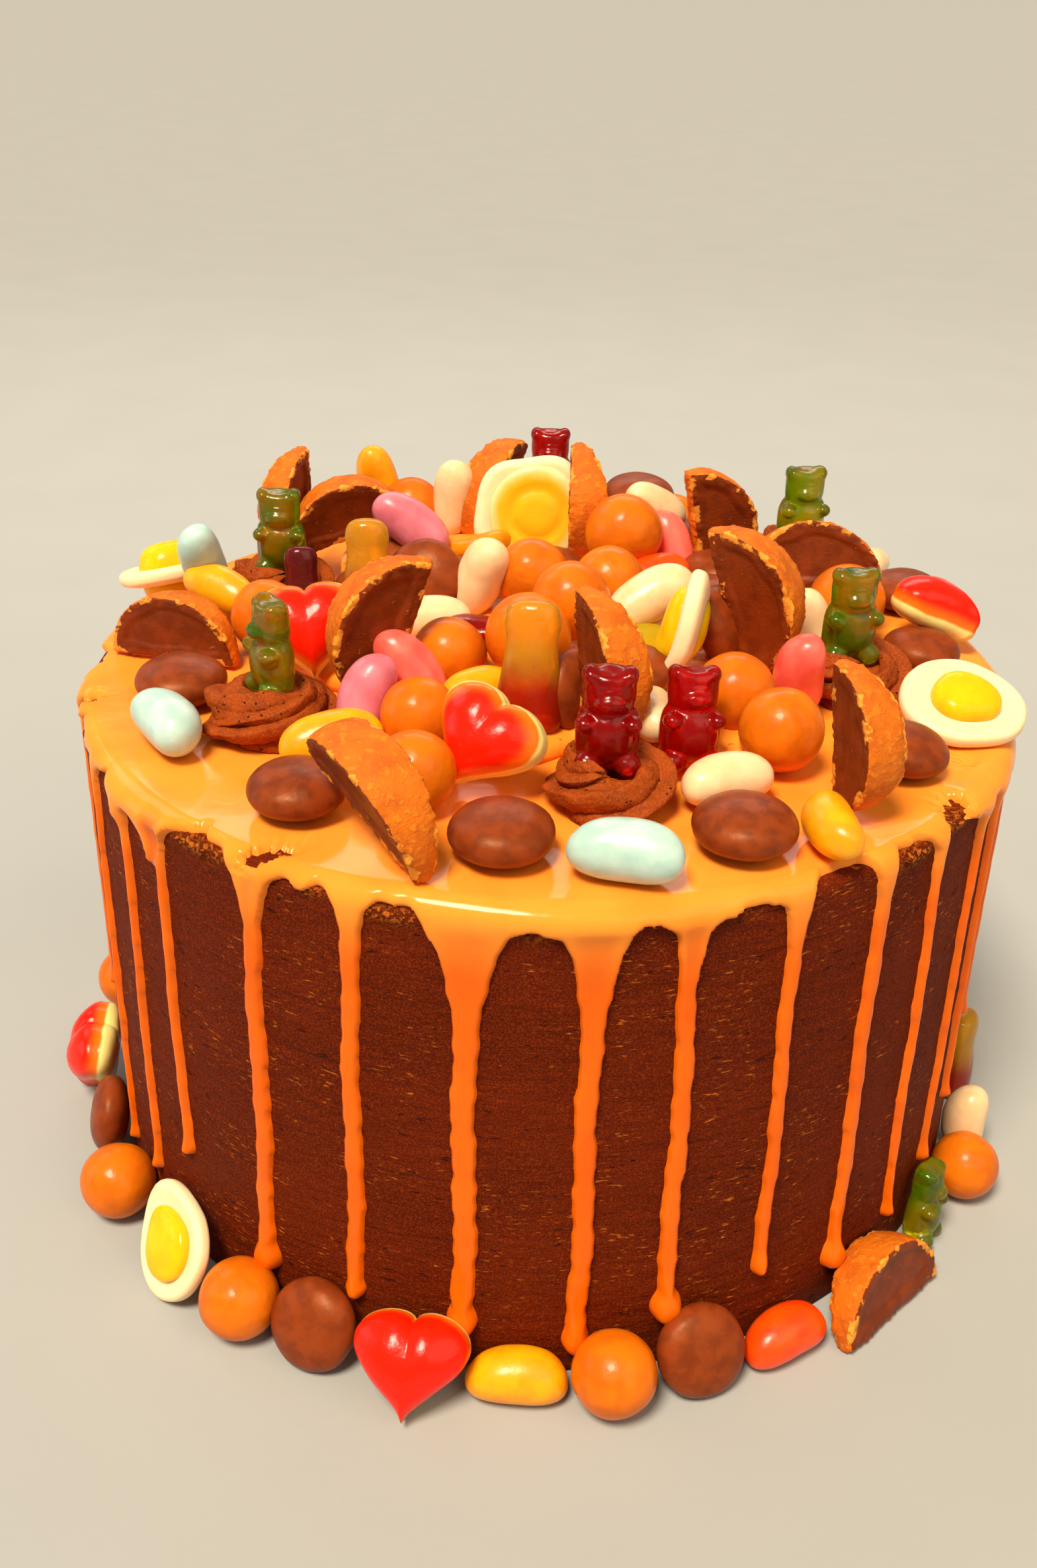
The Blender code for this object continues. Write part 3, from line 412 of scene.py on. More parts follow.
def cream_finish():
    """Piped chocolate cream: matte brown with a fine grain and small air holes, painted dark as shade inside
    them.
    """
    look = Finish("cream", 0.65, 0.08)
    look.paint(look.patches(4, 3, 0.35, 0.65), (0.30, 0.046, 0.0050), (0.22, 0.033, 0.004))
    look.over(look.patches(0.45, 2, 0.4, 0.7), (0.48, 0.095, 0.010), 0.5)
    # Painted shade: the small air holes are darkened where shade falls inside them
    holes_painted_dark = look.times(look.stepped(look.cells(1.9), 0.17, 0.10), look.patches(4, 3, 0.45, 0.5))
    look.over(holes_painted_dark, (0.05, 0.010, 0.003))
    look.bumps((0.35, 2, 0.15))
    look.relief(look.times(holes_painted_dark, -1.0), 0.3)


def chocolate_finish(name, roughness, specular, patches, deep, pale, own, rough, *bumps, **others):
    """Polished chocolate, patchy in colour and shine, each sweet a little off the next in its own colour."""
    look = Finish(name, roughness, specular, **others)
    look.paint(look.patches(*patches), deep, pale)
    look.over(look.attribute("shade"), *own)
    look.rough(look.grain(*rough[:2]), *rough[2:])
    look.bumps(*bumps)


def peel_finish():
    """The outside of a chocolate segment: matte orange brown, scuffed, with pale crumbs on its edges."""
    look = Finish("peel", 0.55, 0.15)
    look.paint(look.patches(5, 4, 0.35, 0.65), (0.68, 0.145, 0.006), (0.52, 0.100, 0.005))
    scuffs = look.stepped(look.grain(1.6, 6, lacunarity=2.6), 0.50, 0.64)
    look.over(scuffs, (0.92, 0.30, 0.018), 0.3)
    look.over(look.edge_crumbs(0.25), (0.90, 0.33, 0.035))
    look.bumps((0.5, 3, 0.15))
    look.relief(look.cells(1.4), 0.10)
    look.relief(scuffs, 0.08)


def face_finish():
    """The inside of a chocolate segment: darker, smoother, with crumbs clinging to its borders."""
    look = Finish("face", 0.45, 0.2)
    look.paint(look.patches(4, 4, 0.35, 0.65), (0.21, 0.030, 0.003), (0.15, 0.021, 0.002))
    loose = look.patches(1.3, 6, 0.64, 0.72)
    look.over(loose, (0.60, 0.20, 0.02), 0.4)
    crumbs = look.edge_crumbs(0.14)
    look.over(crumbs, (0.74, 0.26, 0.028))
    look.bumps((0.6, 3, 0.12))
    look.relief(loose, 0.2)
    look.relief(crumbs, 0.25)


def jelly_finish(name, deep, pale, clear, roughness=0.18):
    """Gummy sugar: deep colour, a soft shine and some light coming through."""
    look = Finish(name, roughness, 0.2, (0.6 * (1 - clear), 4 * MM, (1.0, 0.25, 0.08)), (0.08, 0.1),
                  Transmission_Weight=clear, IOR=JELLY_IOR)
    look.paint(look.patches(7, 2, 0.3, 0.7), deep, pale)
    look.bumps((3.2, 2, 0.22), (0.8, 2, 0.03))


def yolk_finish():
    """The low yolk of a dished egg: yellow in the middle, fading into the foam at its border."""
    look = Finish("ringed_yolk", 0.25, 0.2, (0.4, 3 * MM, (1.0, 0.6, 0.2)))
    squares = [look.times(side, side) for side in (look.axis("X", True), look.axis("Y", True))]
    out = look.times(look.times(*squares, "ADD"), 0.5, "POWER")
    ragged = look.times(out, look.times(look.grain(4), 1.5 * MM), "ADD")
    look.paint(look.stepped(ragged, 0.60 * EGG_RADIUS, 0.86 * EGG_RADIUS),
               (0.97, 0.42, 0.006), (0.93, 0.71, 0.36))
    look.bumps((3, 2, 0.15))


def own_height(look, wander):
    """How high a place lies on the sweet itself, wandering a little."""
    return look.times(look.axis("Z", True), look.times(look.grain(5), wander), "ADD")


def heart_finish(name, foam, full):
    """A gummy heart: red jelly on cream coloured foam, orange where the jelly runs thin; the heights in mm
    up to which the foam shows and from which the jelly is full red."""
    look = Finish(name, 0.24, 0.2, (0.35, 3 * MM, (1.0, 0.25, 0.08)), (0.08, 0.12))
    height = own_height(look, 1.2 * MM)
    look.paint(look.stepped(height, (foam - 0.8) * MM, foam * MM), (0.94, 0.72, 0.24), (0.95, 0.17, 0.004))
    look.over(look.stepped(height, foam * MM, full * MM), (0.93, 0.012, 0.001))
    look.bumps((4, 2, 0.25), (0.6, 2, 0.04))


def cola_finish():
    """A two-coloured gummy bottle: amber at the top, running into dark red below."""
    look = Finish("cola", 0.2, 0.2, (0.2, 4 * MM, (1.0, 0.3, 0.1)), (0.08, 0.1),
                  Transmission_Weight=0.6, IOR=JELLY_IOR)
    amber = look.stepped(own_height(look, 6 * MM), -3 * MM, 7 * MM)
    look.paint(amber, (0.52, 0.026, 0.004), (0.85, 0.42, 0.02))
    look.bumps((3, 2, 0.25), (0.5, 2, 0.04))


def bean_finish(name, colour, deep):
    """A jelly bean: pastel shell with fine specks, light coming through, and a polish."""
    look = Finish(name, 0.32, 0.35, (0.5, 3.5 * MM, (1.0, 0.7, 0.5)), (0.1, 0.15))
    look.paint(look.patches(5, 2, 0.3, 0.7), colour, deep)
    look.over(look.patches(0.35, 1, 0.66, 0.76), deep, 0.3)
    look.bumps((2.4, 2, 0.10), (0.6, 1, 0.015))


def all_finishes():
    for finish in (ganache_finish, caramel_finish, cream_finish, peel_finish, face_finish, yolk_finish,
                   cola_finish):
        finish()
    # Cream coloured foam sugar, caramel with a few crumbs between the sweets, and the floor
    plain_finish("foam", 0.45, 0.3, (0.4, 3 * MM, (1.0, 0.75, 0.45)), (5, 3),
                 ((0.92, 0.67, 0.37), (0.93, 0.73, 0.46)), (0.7, 3, 0.05), (4, 2, 0.25))
    plain_finish("mound", 0.3, 0.2, (), (3, 5, 0.64, 0.72), ((0.96, 0.285, 0.023), (0.60, 0.120, 0.010)),
                 (4, 3, 0.5))
    plain_finish("floor", 0.7, 0.5, (), (60, 3), ((0.36, 0.35, 0.335), (0.39, 0.38, 0.365)), (3, 3, 0.05))
    # Milk chocolate round a malted middle under a clear glaze, and a dark lentil with a coppery polish
    chocolate_finish("malt_ball", 0.34, 0.12, (6, 4, 0.35, 0.7), (0.80, 0.170, 0.003), (0.60, 0.115, 0.002),
                     ((0.54, 0.105, 0.004), 0.45), (2.5, 3, 0.22, 0.44), (1.4, 3, 0.09), (5, 2, 0.3),
                     coat=(0.12, 0.12))
    chocolate_finish("lentil", 0.38, 0.3, (3.5, 5, 0.38, 0.66), (0.25, 0.039, 0.006), (0.145, 0.021, 0.004),
                     ((0.24, 0.038, 0.007), 0.5), (1.8, 4, 0.30, 0.50), (1.0, 3, 0.05), (6, 2, 0.3),
                     Specular_Tint=(1.0, 0.6, 0.35, 1))
    heart_finish("heart", -1.1, 2.0)
    heart_finish("pale_heart", 2.6, 5.2)
    for name, values in JELLIES.items():
        jelly_finish(name, *values)
    for name, values in BEANS.items():
        bean_finish(name, *values)


# Shapes, each in its own frame

def bell(value, width):
    """1 at 0, falling off smoothly to both sides."""
    return exp(-(value / width) ** 2)


def uneven(place, size, tall=1.0, shift=(0, 0, 0)):
    """Noise from -1 to 1 with lumps of about that size in mm, flatter where tall is over 1."""
    return noise.noise(Vector((place.x, place.y, place.z * tall)) / (size * MM) + Vector(shift))


def mesh_of(name, bm):
    mesh = bpy.data.meshes.new(name)
    bm.to_mesh(mesh)
    bm.free()
    return mesh


def put(name, data):
    """A new object in the scene."""
    made = bpy.data.objects.new(name, data)
    SCENE.collection.objects.link(made)
    return made


def close_seam(bm):
    bmesh.ops.remove_doubles(bm, verts=[v for v in bm.verts if v.is_boundary], dist=SEAM_GAP)


def cut_level(bm, height):
    """Takes away what lies below that height."""
    bmesh.ops.bisect_plane(bm, geom=bm.verts[:] + bm.edges[:] + bm.faces[:], plane_co=(0, 0, height),
                           plane_no=(0, 0, -1), clear_outer=True)


def pillow(half_size, outline=None, squareness=0.8, segments=40, rings=24):
    """A ball pressed square: its plan follows outline(angle), and a lower squareness is boxier."""
    bm = bmesh.new()
    bmesh.ops.create_uvsphere(bm, u_segments=segments, v_segments=rings, radius=1)
    for v in bm.verts:
        angle = atan2(v.co.y, v.co.x)
        out = min(v.co.xy.length, 1) ** squareness * (outline(angle) if outline else 1)
        up = copysign(abs(v.co.z) ** squareness, v.co.z)
        v.co = Vector((out * cos(angle) * half_size[0], out * sin(angle) * half_size[1],
                       up * half_size[2]))
    return bm


def turned_skin(profile, columns):
    """A skin turned about Z from (radius, height) points, as a grid bent round and closed."""
    bm = bmesh.new()
    rows = len(profile) - 1
    bmesh.ops.create_grid(bm, x_segments=columns, y_segments=rows, size=0.5)
    for v in bm.verts:
        angle = 2 * pi * (round((v.co.x + 0.5) * columns) % columns) / columns
        radius, height = profile[round((v.co.y + 0.5) * rows)]
        v.co = Vector((radius * cos(angle), radius * sin(angle), height))
    close_seam(bm)
    return bm


def take_in(bm, other, matrix=Matrix.Identity(4), slot=0):
    """Adds another bmesh, placed and with its faces in a material slot."""
    other.transform(matrix)
    for face in other.faces:
        face.material_index = slot
    mesh = mesh_of("part", other)
    bm.from_mesh(mesh)
    bpy.data.meshes.remove(mesh)


def melted(bm, voxel, rounds):
    """Overlapping shapes run together into one skin, then smoothed."""
    mesh = mesh_of("melting", bm)
    melting = put("melting", mesh)
    remesh = melting.modifiers.new("remesh", "REMESH")
    remesh.mode = "VOXEL"
    remesh.voxel_size = voxel
    skin = bpy.data.meshes.new_from_object(melting.evaluated_get(bpy.context.evaluated_depsgraph_get()))
    bpy.data.objects.remove(melting)
    bm = bmesh.new()
    bm.from_mesh(skin)
    for used in (mesh, skin):
        bpy.data.meshes.remove(used)
    for _ in range(rounds):
        bmesh.ops.smooth_vert(bm, verts=bm.verts, factor=0.5, use_axis_x=True, use_axis_y=True,
                              use_axis_z=True)
    return bm


def ball():
    bm = bmesh.new()
    bmesh.ops.create_icosphere(bm, subdivisions=5, radius=BALL_RADIUS)
    return bm


def bean():
    """Long side along X, round ends, slightly bent, one end fuller than the other."""
    bm = pillow((1, 1, 1), squareness=1, segments=32, rings=36)
    bm.transform(Matrix.Rotation(pi / 2, 4, "Y"))
    for v in bm.verts:
        along = v.co.x
        thick = (1 - abs(along) ** 2.7) ** 0.46 * (1 + 0.05 * along) if abs(along) < 1 else 0
        around = v.co.yz.normalized() if v.co.yz.length > 1e-6 else Vector((0, 0))
        bent = BEAN_BEND * (0.4 - along * along)
        v.co = Vector((along * BEAN_LENGTH / 2, around.x * thick * BEAN_WIDTH / 2 + bent,
                       around.y * thick * BEAN_WIDTH / 2))
    return bm


def lentil():
    return pillow((LENTIL_RADIUS, LENTIL_RADIUS, LENTIL_THICKNESS / 2), None, 0.94, 48, 28)


def wavy(*waves):
    """An outline with waves on it: each one's size, number and phase."""
    return lambda angle: sum((size * cos(number * angle + phase) for size, number, phase in waves), 1)


def drop_outline(angle):
    """Pointed up to the left, between -X and +Y."""
    return 0.88 + 0.30 * exp(-(remainder(angle - radians(130), 2 * pi) / 0.55) ** 2)


UNEVEN_ROUND, FIVE_SIDED = wavy((0.05, 2, 0), (0.03, 3, 1)), wavy((0.045, 5, 0.6), (0.04, 2, 0))


def egg(outline=UNEVEN_ROUND, yolk=0.55, dome=0.40, bend=0.0):
    """Foam with a raised rim, and a yolk in its dish: a dome, or a wide low one with a ring in it."""
    r, h = EGG_RADIUS, EGG_HEIGHT
    bm = bmesh.new()
    foam = pillow((r, r, 0.34 * h), outline, 0.62, 56, 26)
    for v in foam.verts:
        if v.co.z > 0:
            share = v.co.xy.length / (r * outline(atan2(v.co.y, v.co.x)))
            v.co.z -= 0.20 * h * max(0, 1 - (share / 0.88) ** 5)
    take_in(bm, foam, Matrix.Translation((0, 0, -0.16 * h)))
    ringed = yolk > 0.7
    jelly = pillow((yolk * r, yolk * r, dome * h), None if ringed else outline, 0.72, 48, 28)
    for v in jelly.verts:
        if ringed and v.co.z > 0:
            share = v.co.xy.length / (yolk * r)
            v.co.z -= 0.09 * h * bell(share - 0.52, 0.09)
            v.co.z += 0.10 * h * max(0, share - 0.7) * (v.co.z > 0)
    take_in(bm, jelly, Matrix.Translation((0.03 * r, 0, (0.21 - 0.45 * dome) * h)), 1)
    for v in bm.verts:
        v.co.z += bend * v.co.x ** 2 / r * (1.6 if v.co.x < 0 else 0.3)
    return bm


def heart_outline(angle):
    """The heart's radius at an angle about its middle, as a share of its width."""
    turns = np.radians(np.arange(0, 360, 3))
    x = 0.5 * np.sin(turns) ** 3
    y = 13 * np.cos(turns) - 3.4 * np.cos(2 * turns) - 1.0 * np.cos(3 * turns) - 0.4 * np.cos(4 * turns)
    y = y / 29 + 0.05
    order = np.argsort(np.arctan2(y, x))
    return float(np.interp(angle, np.arctan2(y, x)[order], np.hypot(x, y)[order], period=2 * pi))


def heart():
    """A thick heart, lobes towards +Y: steep sides drawn in upwards, and two soft lobes on a domed top."""
    w, t = HEART_WIDTH, HEART_THICKNESS
    bm = pillow((w, w, t / 2), heart_outline, 0.62, 96, 40)
    for v in bm.verts:
        up = v.co.z / (t / 2)
        v.co.xy *= 1 - 0.05 * up - 0.02 * bell(up + 0.22, 0.12)
        if up > 0:
            x, y = v.co.x / w, v.co.y / w
            lobes = exp(-((abs(x) - 0.22) / 0.15) ** 2 - ((y - 0.12) / 0.2) ** 2)
            groove = bell(x, 0.09) / (1 + exp(-(y - 0.10) / 0.05))
            v.co.z += t * up * (0.03 * lobes - 0.05 * groove - 0.14 * (x * x + y * y) / 0.16)
    return bm


def segment():
    """A wedge of chocolate: half-round faces with a sunken panel, a wide peel and a thin straight edge."""
    length, depth, low = SEGMENT_LENGTH / 2, SEGMENT_DEPTH, 0.45 * SEGMENT_DEPTH

    def half_at(up):
        return (SEGMENT_EDGE + (SEGMENT_PEEL - SEGMENT_EDGE) * up) / 2

    bm = bmesh.new()
    bmesh.ops.create_circle(bm, cap_ends=True, segments=72, radius=1)
    bm.transform(Matrix.Rotation(pi / 2, 4, "X"))
    cut_level(bm, 0)
    side = bmesh.ops.extrude_face_region(bm, geom=bm.faces[:])["geom"]
    bmesh.ops.translate(bm, vec=(0, 2, 0), verts=[v for v in side if isinstance(v, bmesh.types.BMVert)])
    for v in bm.verts:
        v.co = Vector((v.co.x * length, copysign(half_at(v.co.z), v.co.y - 1), v.co.z * depth - low))
    bmesh.ops.recalc_face_normals(bm, faces=bm.faces)
    bm = melted(bm, 0.48 * MM, 2)
    edge = bm.verts.layers.float.new("edge")
    bm.normal_update()
    for v in bm.verts:
        up = (v.co.z + low) / depth
        half = half_at(up)
        to_rim = min((1 - hypot(v.co.x / length, up)) * depth, v.co.z + low)
        to_side = half - abs(v.co.y)
        v[edge] = bell(to_rim + to_side, 1.6 * MM)
        crumbly = uneven(v.co, 1.3) + 0.6 * uneven(v.co, 3)
        v.co += v.normal * crumbly * 0.5 * MM * v[edge]
        if to_side < 1.0 * MM:
            border = (2.4 + 1.2 * uneven(v.co, 6)) * MM
            panel = min(max((to_rim - border) / (1.2 * MM), 0), 1)
            v.co.y -= copysign(0.6 * MM * panel, v.co.y)
        else:
            v.co += v.normal * 0.5 * MM * max(0, 1 - (abs(v.co.y) / half) ** 2)
    for face in bm.faces:
        face.material_index = 1 if abs(face.normal.y) > 0.75 else 0
    return bm


def bear():
    """A plain bear that stands on Z and looks towards -Y: broad and boxy, with a flat back."""
    boxes = [((0, 0.9, -3.6), (6.2, 3.5, 7.2), 0.62), ((0, 0.5, 5.6), (5.1, 3.7, 4.9), 0.58),
             ((0, -0.9, -3.4), (5.2, 3.4, 5.2), 0.8)]
    muzzle = ((0, -2.9, 4.2), (2.8, 1.8, 1.7))
    pairs = [((3.5, 0.3, 8.9), (1.9, 2.7, 1.9)), ((4.5, -2.2, -0.2), (2.0, 2.3, 1.7)),
             ((3.8, -2.0, -8.6), (2.8, 2.7, 2.3))]
    bm = bmesh.new()
    for centre, radii, squareness in boxes:
        box = pillow(Vector(radii) * MM, None, squareness, 32, 20)
        take_in(bm, box, Matrix.Translation(Vector(centre) * MM))
    for (x, y, z), radii in [muzzle] + pairs:
        for side in (x, -x) if x else (x,):
            place = Matrix.Translation(Vector((side, y, z)) * MM)
            place = place @ Matrix.Diagonal((*(Vector(radii) * MM), 1))
            bmesh.ops.create_uvsphere(bm, u_segments=24, v_segments=16, radius=1, matrix=place)
    bm = melted(bm, 0.42 * MM, 4)
    for v in bm.verts:
        dish = exp(-(v.co.x / (3.0 * MM)) ** 2 - ((v.co.y + 0.5 * MM) / (3.0 * MM)) ** 2)
        v.co.z -= 0.9 * MM * dish * (v.co.z > 7 * MM)
        v.co.y = min(v.co.y, 4.0 * MM)
    return bm


def bottle():
    """A small flattened bottle that stands on Z."""
    h, w = BOTTLE_HEIGHT, BOTTLE_WIDTH / 2
    profile = [(0, 1), (0.3, 0.995), (0.55, 0.975), (0.70, 0.94), (0.78, 0.88), (0.80, 0.8), (0.76, 0.74),
               (0.76, 0.64), (0.79, 0.55), (0.86, 0.44), (0.93, 0.33), (0.98, 0.22), (0.97, 0.12),
               (0.90, 0.05), (0.74, 0.012), (0.4, 0.0), (0, 0)]
    bm = bmesh.new()
    line = [bm.verts.new((radius * w, 0, height * h - h / 2)) for radius, height in profile]
    edges = [bm.edges.new(pair) for pair in zip(line, line[1:])]
    bmesh.ops.spin(bm, geom=line + edges, cent=(0, 0, 0), axis=(0, 0, 1), angle=2 * pi, steps=32,
                   use_merge=True)
    bmesh.ops.remove_doubles(bm, verts=bm.verts, dist=1e-6)
    bmesh.ops.subdivide_edges(bm, edges=bm.edges[:], cuts=1, smooth=0.6, use_grid_fill=True)
    bmesh.ops.recalc_face_normals(bm, faces=bm.faces)
    for v in bm.verts:
        v.co.y *= BOTTLE_DEPTH / BOTTLE_WIDTH
    return bm


def piped_rope():
    """Cream piped through a star nozzle, laid round and over itself: broad lapping ribbons that climb along
    the rope, a blunt start under them and a torn lip at the end."""
    along, around = ROPE_STEPS, RIDGE_STEPS * ROPE_RIDGES
    bm = bmesh.new()
    bmesh.ops.create_grid(bm, x_segments=around, y_segments=along, size=0.5)
    for v in bm.verts:
        share = v.co.y + 0.5
        turn = 2 * pi * (round((v.co.x + 0.5) * around) % around) / around
        angle = 2 * pi * ROPE_TURNS * share
        ridge = (ROPE_RIDGES * turn / (2 * pi) - ROPE_TWIST * (angle * ROPE_RING)) % 1
        tooth = ridge / RIDGE_RISE if ridge < RIDGE_RISE else (1 - ridge) / RIDGE_FALL
        rise = min(1, max(0, (share - 0.42) / 0.3))
        start = 0.55 + 0.45 * sin(min(1, share / 0.04) * pi / 2)
        radius = ROPE_RADIUS * (1 - 0.14 * rise) * start * (0.50 + 0.50 * tooth ** 0.85)
        torn = max(0, (share - 0.93) / 0.07)
        radius *= 1 - 0.8 * torn ** 2
        ahead = (tooth - 0.5) * (0.12 * torn - 0.20 * max(0, 1 - share / 0.08))
        out = ROPE_RING * (1 - 0.16 * rise) + radius * cos(turn)
        up = ROPE_RADIUS * 0.72 + 0.62 * ROPE_RADIUS * rise + radius * sin(turn) + 2.4 * MM * torn ** 2
        v.co = Vector((out * cos(angle + 3 * ahead), out * sin(angle + 3 * ahead), up))
    close_seam(bm)
    bmesh.ops.holes_fill(bm, edges=[edge for edge in bm.edges if edge.is_boundary])
    bmesh.ops.triangulate(bm, faces=[face for face in bm.faces if len(face.verts) > 4])
    bmesh.ops.recalc_face_normals(bm, faces=bm.faces)
    bm.normal_update()
    for v in bm.verts:
        v.co += v.normal * (uneven(v.co, 0.9) * 0.22 * MM + uneven(v.co, 3.5) * 0.7 * MM)
        v.co.z = max(v.co.z, 0)
    return bm


SHAPERS = {"ball": ball, "bean": bean, "lentil": lentil, "egg": egg, "heart": heart, "segment": segment,
           "bear": bear, "bottle": bottle, "swirl": piped_rope,
           "egg_drop": lambda: egg(drop_outline, 0.62, 0.28),
           "egg_domed": lambda: egg(yolk=0.64, dome=1.0),
           "egg_dished": lambda: egg(FIVE_SIDED, 0.78, 0.2),
           "egg_bent": lambda: egg(yolk=0.66, dome=0.60, bend=0.26)}
SHAPES = {}


def shape_of(kind):
    """The kind's mesh, made once, with each point's own place kept as an attribute."""
    if kind not in SHAPES:
        bm = SHAPERS[kind]()
        own = bm.verts.layers.float_vector.new("own")
        if "edge" not in bm.verts.layers.float:
            bm.verts.layers.float.new("edge")
        bm.verts.layers.float.new("shade")
        for v in bm.verts:
            v[own] = v.co
        SHAPES[kind] = mesh_of(f"{kind}_shape", bm)
    return SHAPES[kind]


# Placing

def turn_of(turns, size=1.0):
    return Euler([radians(angle) for angle in turns]).to_matrix().to_4x4() @ Matrix.Scale(size, 4)


def sweet(kind, size, turns=(0, 0, 0), colour=None):
    """The turn and the finishes of a sweet's row in the tables."""
    finishes = list(KINDS[kind][1:])
    if colour:
        finishes[-1] = colour
    return turn_of(turns, size), finishes


def corners(mesh, matrix):
    """Lowest and highest corner of a turned mesh."""
    points = np.empty(3 * len(mesh.vertices), np.float32)
    mesh.vertices.foreach_get("co", points)
    points = points.reshape(-1, 3) @ np.array(matrix.to_3x3()).T
    return Vector(points.min(0)), Vector(points.max(0))


def on_node(kind, turn, node):
    """The matrix that stands a turned shape where a solid stands: same middle, same underside."""
    low, high = corners(shape_of(kind), turn)
    node_low, node_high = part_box(node)
    move = (node_low + node_high - low - high) / 2
    move.z = node_low.z - low.z
    return Matrix.Translation(move) @ turn


def on_caramel(kind, x, y, height, turn):
    """The matrix that lays a turned shape at (x, y), no lower than on the caramel."""
    low, _ = corners(shape_of(kind), turn)
    return Matrix.Translation((x * MM, y * MM, CARAMEL_TOP + max(height * MM, GAP - low.z))) @ turn


def piece(name, bm, finishes, nodes):
    """The bmesh as a piece of the cake that stands for its solids."""
    mesh = mesh_of(name, bm)
    for finish in finishes:
        mesh.materials.append(FINISHES[finish])
    mesh.shade_smooth()
    made = put(name, mesh)
    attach(made, "root")
    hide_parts(*nodes)


def way_inside(verts):
    """The small move that brings a sweet back inside the solids' box."""
    points = np.array([v.co for v in verts])
    low, high = np.array(CAD_BOX[0]) + BOX_MARGIN, np.array(CAD_BOX[1]) - BOX_MARGIN
    return Vector(np.clip(low - points.min(0), 0, None) + np.clip(high - points.max(0), None, 0))


def sweets(name, copies, nodes):
    """One piece out of copies (kind, matrix, finishes), each a little uneven in its own way."""
    bm = bmesh.new()
    finishes = []
    for kind, matrix, looks in copies:
        first, first_face = len(bm.verts), len(bm.faces)
        bm.from_mesh(shape_of(kind))
        bm.verts.ensure_lookup_table()
        bm.faces.ensure_lookup_table()
        shade = bm.verts.layers.float["shade"]
        middle = matrix.translation
        own_shade = 0.5 + 0.5 * uneven(middle, 3)
        for v in bm.verts[first:]:
            v.co = matrix @ v.co
            away = (v.co - middle).normalized()
            v.co += away * (0.22 * MM * uneven(v.co, 7) + 0.05 * MM * uneven(v.co, 2))
            v[shade] = own_shade
        bmesh.ops.translate(bm, vec=way_inside(bm.verts[first:]), verts=bm.verts[first:])
        finishes += [look for look in looks if look not in finishes]
        for face in bm.faces[first_face:]:
            face.material_index = finishes.index(looks[min(face.material_index, len(looks) - 1)])
    piece(name, bm, finishes, nodes)


# The cake

def wrapped(arc):
    """An arc in mm brought to within half a turn of 0."""
    turn = 2 * pi * RIM_RADIUS / MM
    return (arc + turn / 2) % turn - turn / 2


def smooth_union(a, b, blend):
    near = np.clip(blend - np.abs(a - b), 0, None) / blend
    return np.minimum(a, b) - near * near * blend / 4


def arc_of(bearing):
    return radians(bearing) * RIM_RADIUS / MM


def depth_of(height):
    """How far below the corner's start a height on the side lies, along the frosting, in mm."""
    return CORNER_RADIUS * pi / 2 + (FROSTING_HEIGHT / MM - CORNER_RADIUS) - height


def outside_caramel(arc, depth):
    """How far a place on the frosting lies outside the caramel's edge, in mm; inside is negative."""
    turn = arc / (RIM_RADIUS / MM)
    ragged = 0.2 * np.sin(41 * turn) + 0.15 * np.sin(97 * turn) + 0.1 * np.sin(173 * turn)
    bearings, depths = zip(*HEM)
    hem = np.interp((np.degrees(turn) + 60) % 120 - 60, bearings, depths, period=120)
    edge = depth - hem - ragged - RIM_DEPTH
    for rim, end, foot, stream, funnel, reach, bulb in DRIPS:
        length = depth_of(foot)
        share = np.clip(depth / length, 0, 1)
        wander = 0.30 * np.sin(depth / 9 + rim) + 0.12 * np.sin(depth / 3.7 + 2 * rim)
        across = np.abs(wrapped(arc - arc_of(rim) - (arc_of(end) - arc_of(rim)) * share - wander))
        flare = np.clip(1 - (depth - 2) / (reach + 4), 0, 1.2) ** 2.3
        wobble = 1 + 0.07 * np.sin(depth / 1.9 + 3 * rim) + 0.05 * np.sin(depth / 0.9 + rim)
        half = 0.5 * stream * wobble + 0.5 * (funnel - stream) * flare
        tip = np.hypot(across, 0.75 * (depth - length + bulb * 0.75)) - 0.5 * bulb
        side = np.maximum(across - half, depth - length + 0.75 * bulb)
        edge = smooth_union(edge, smooth_union(side, tip, 1.0), 2.4)
    for bearing, inward, long, wide, aslant in TEARS:
        right, outward = wrapped(arc - arc_of(bearing)), depth + inward - CORNER_RADIUS
        cosine, sine = cos(radians(aslant)), sin(radians(aslant))
        along = (right * cosine + outward * sine) / (long / 2)
        over = (outward * cosine - right * sine) / (wide / 2)
        ragged = 0.25 * np.sin(5 * along + 9 * over) + 0.2 * np.sin(11 * along - 5 * over)
        edge = np.maximum(edge, (1 - np.hypot(along, over) + ragged) * wide / 2)
    return edge


def caramel_film(arc, depth):
    """From 0 to 1 where the caramel runs thin."""
    film = np.zeros_like(arc)
    for bearing, width, top, bottom, strength in FILMS:
        across = np.abs(wrapped(arc - arc_of(bearing))) / (width / 2)
        narrow = 1 / (1.05 - 0.6 * np.clip((depth - top) / (bottom - top), 0, 1))
        ends = 1 / (1 + np.exp((top - depth) / 0.7)) / (1 + np.exp((depth - bottom) / 1.5))
        film = np.maximum(film, strength * np.exp(-(across * narrow) ** 4) * ends)
    return film


def frosting_path(depth):
    """Radius, height and outward direction of the frosting's skin, in mm, at a depth along it."""
    turn = np.clip(depth / CORNER_RADIUS, 0, pi / 2)
    level = np.clip(depth, None, 0)
    down = np.clip(depth - CORNER_RADIUS * pi / 2, 0, None)
    start, top = RIM_RADIUS / MM - CORNER_RADIUS, FROSTING_HEIGHT / MM
    radius = start + level + CORNER_RADIUS * np.sin(turn)
    radius = radius + down * (FOOT_RADIUS - RIM_RADIUS) / FROSTING_HEIGHT
    height = top - CORNER_RADIUS * (1 - np.cos(turn)) - down
    return radius, height, np.sin(turn), np.cos(turn)


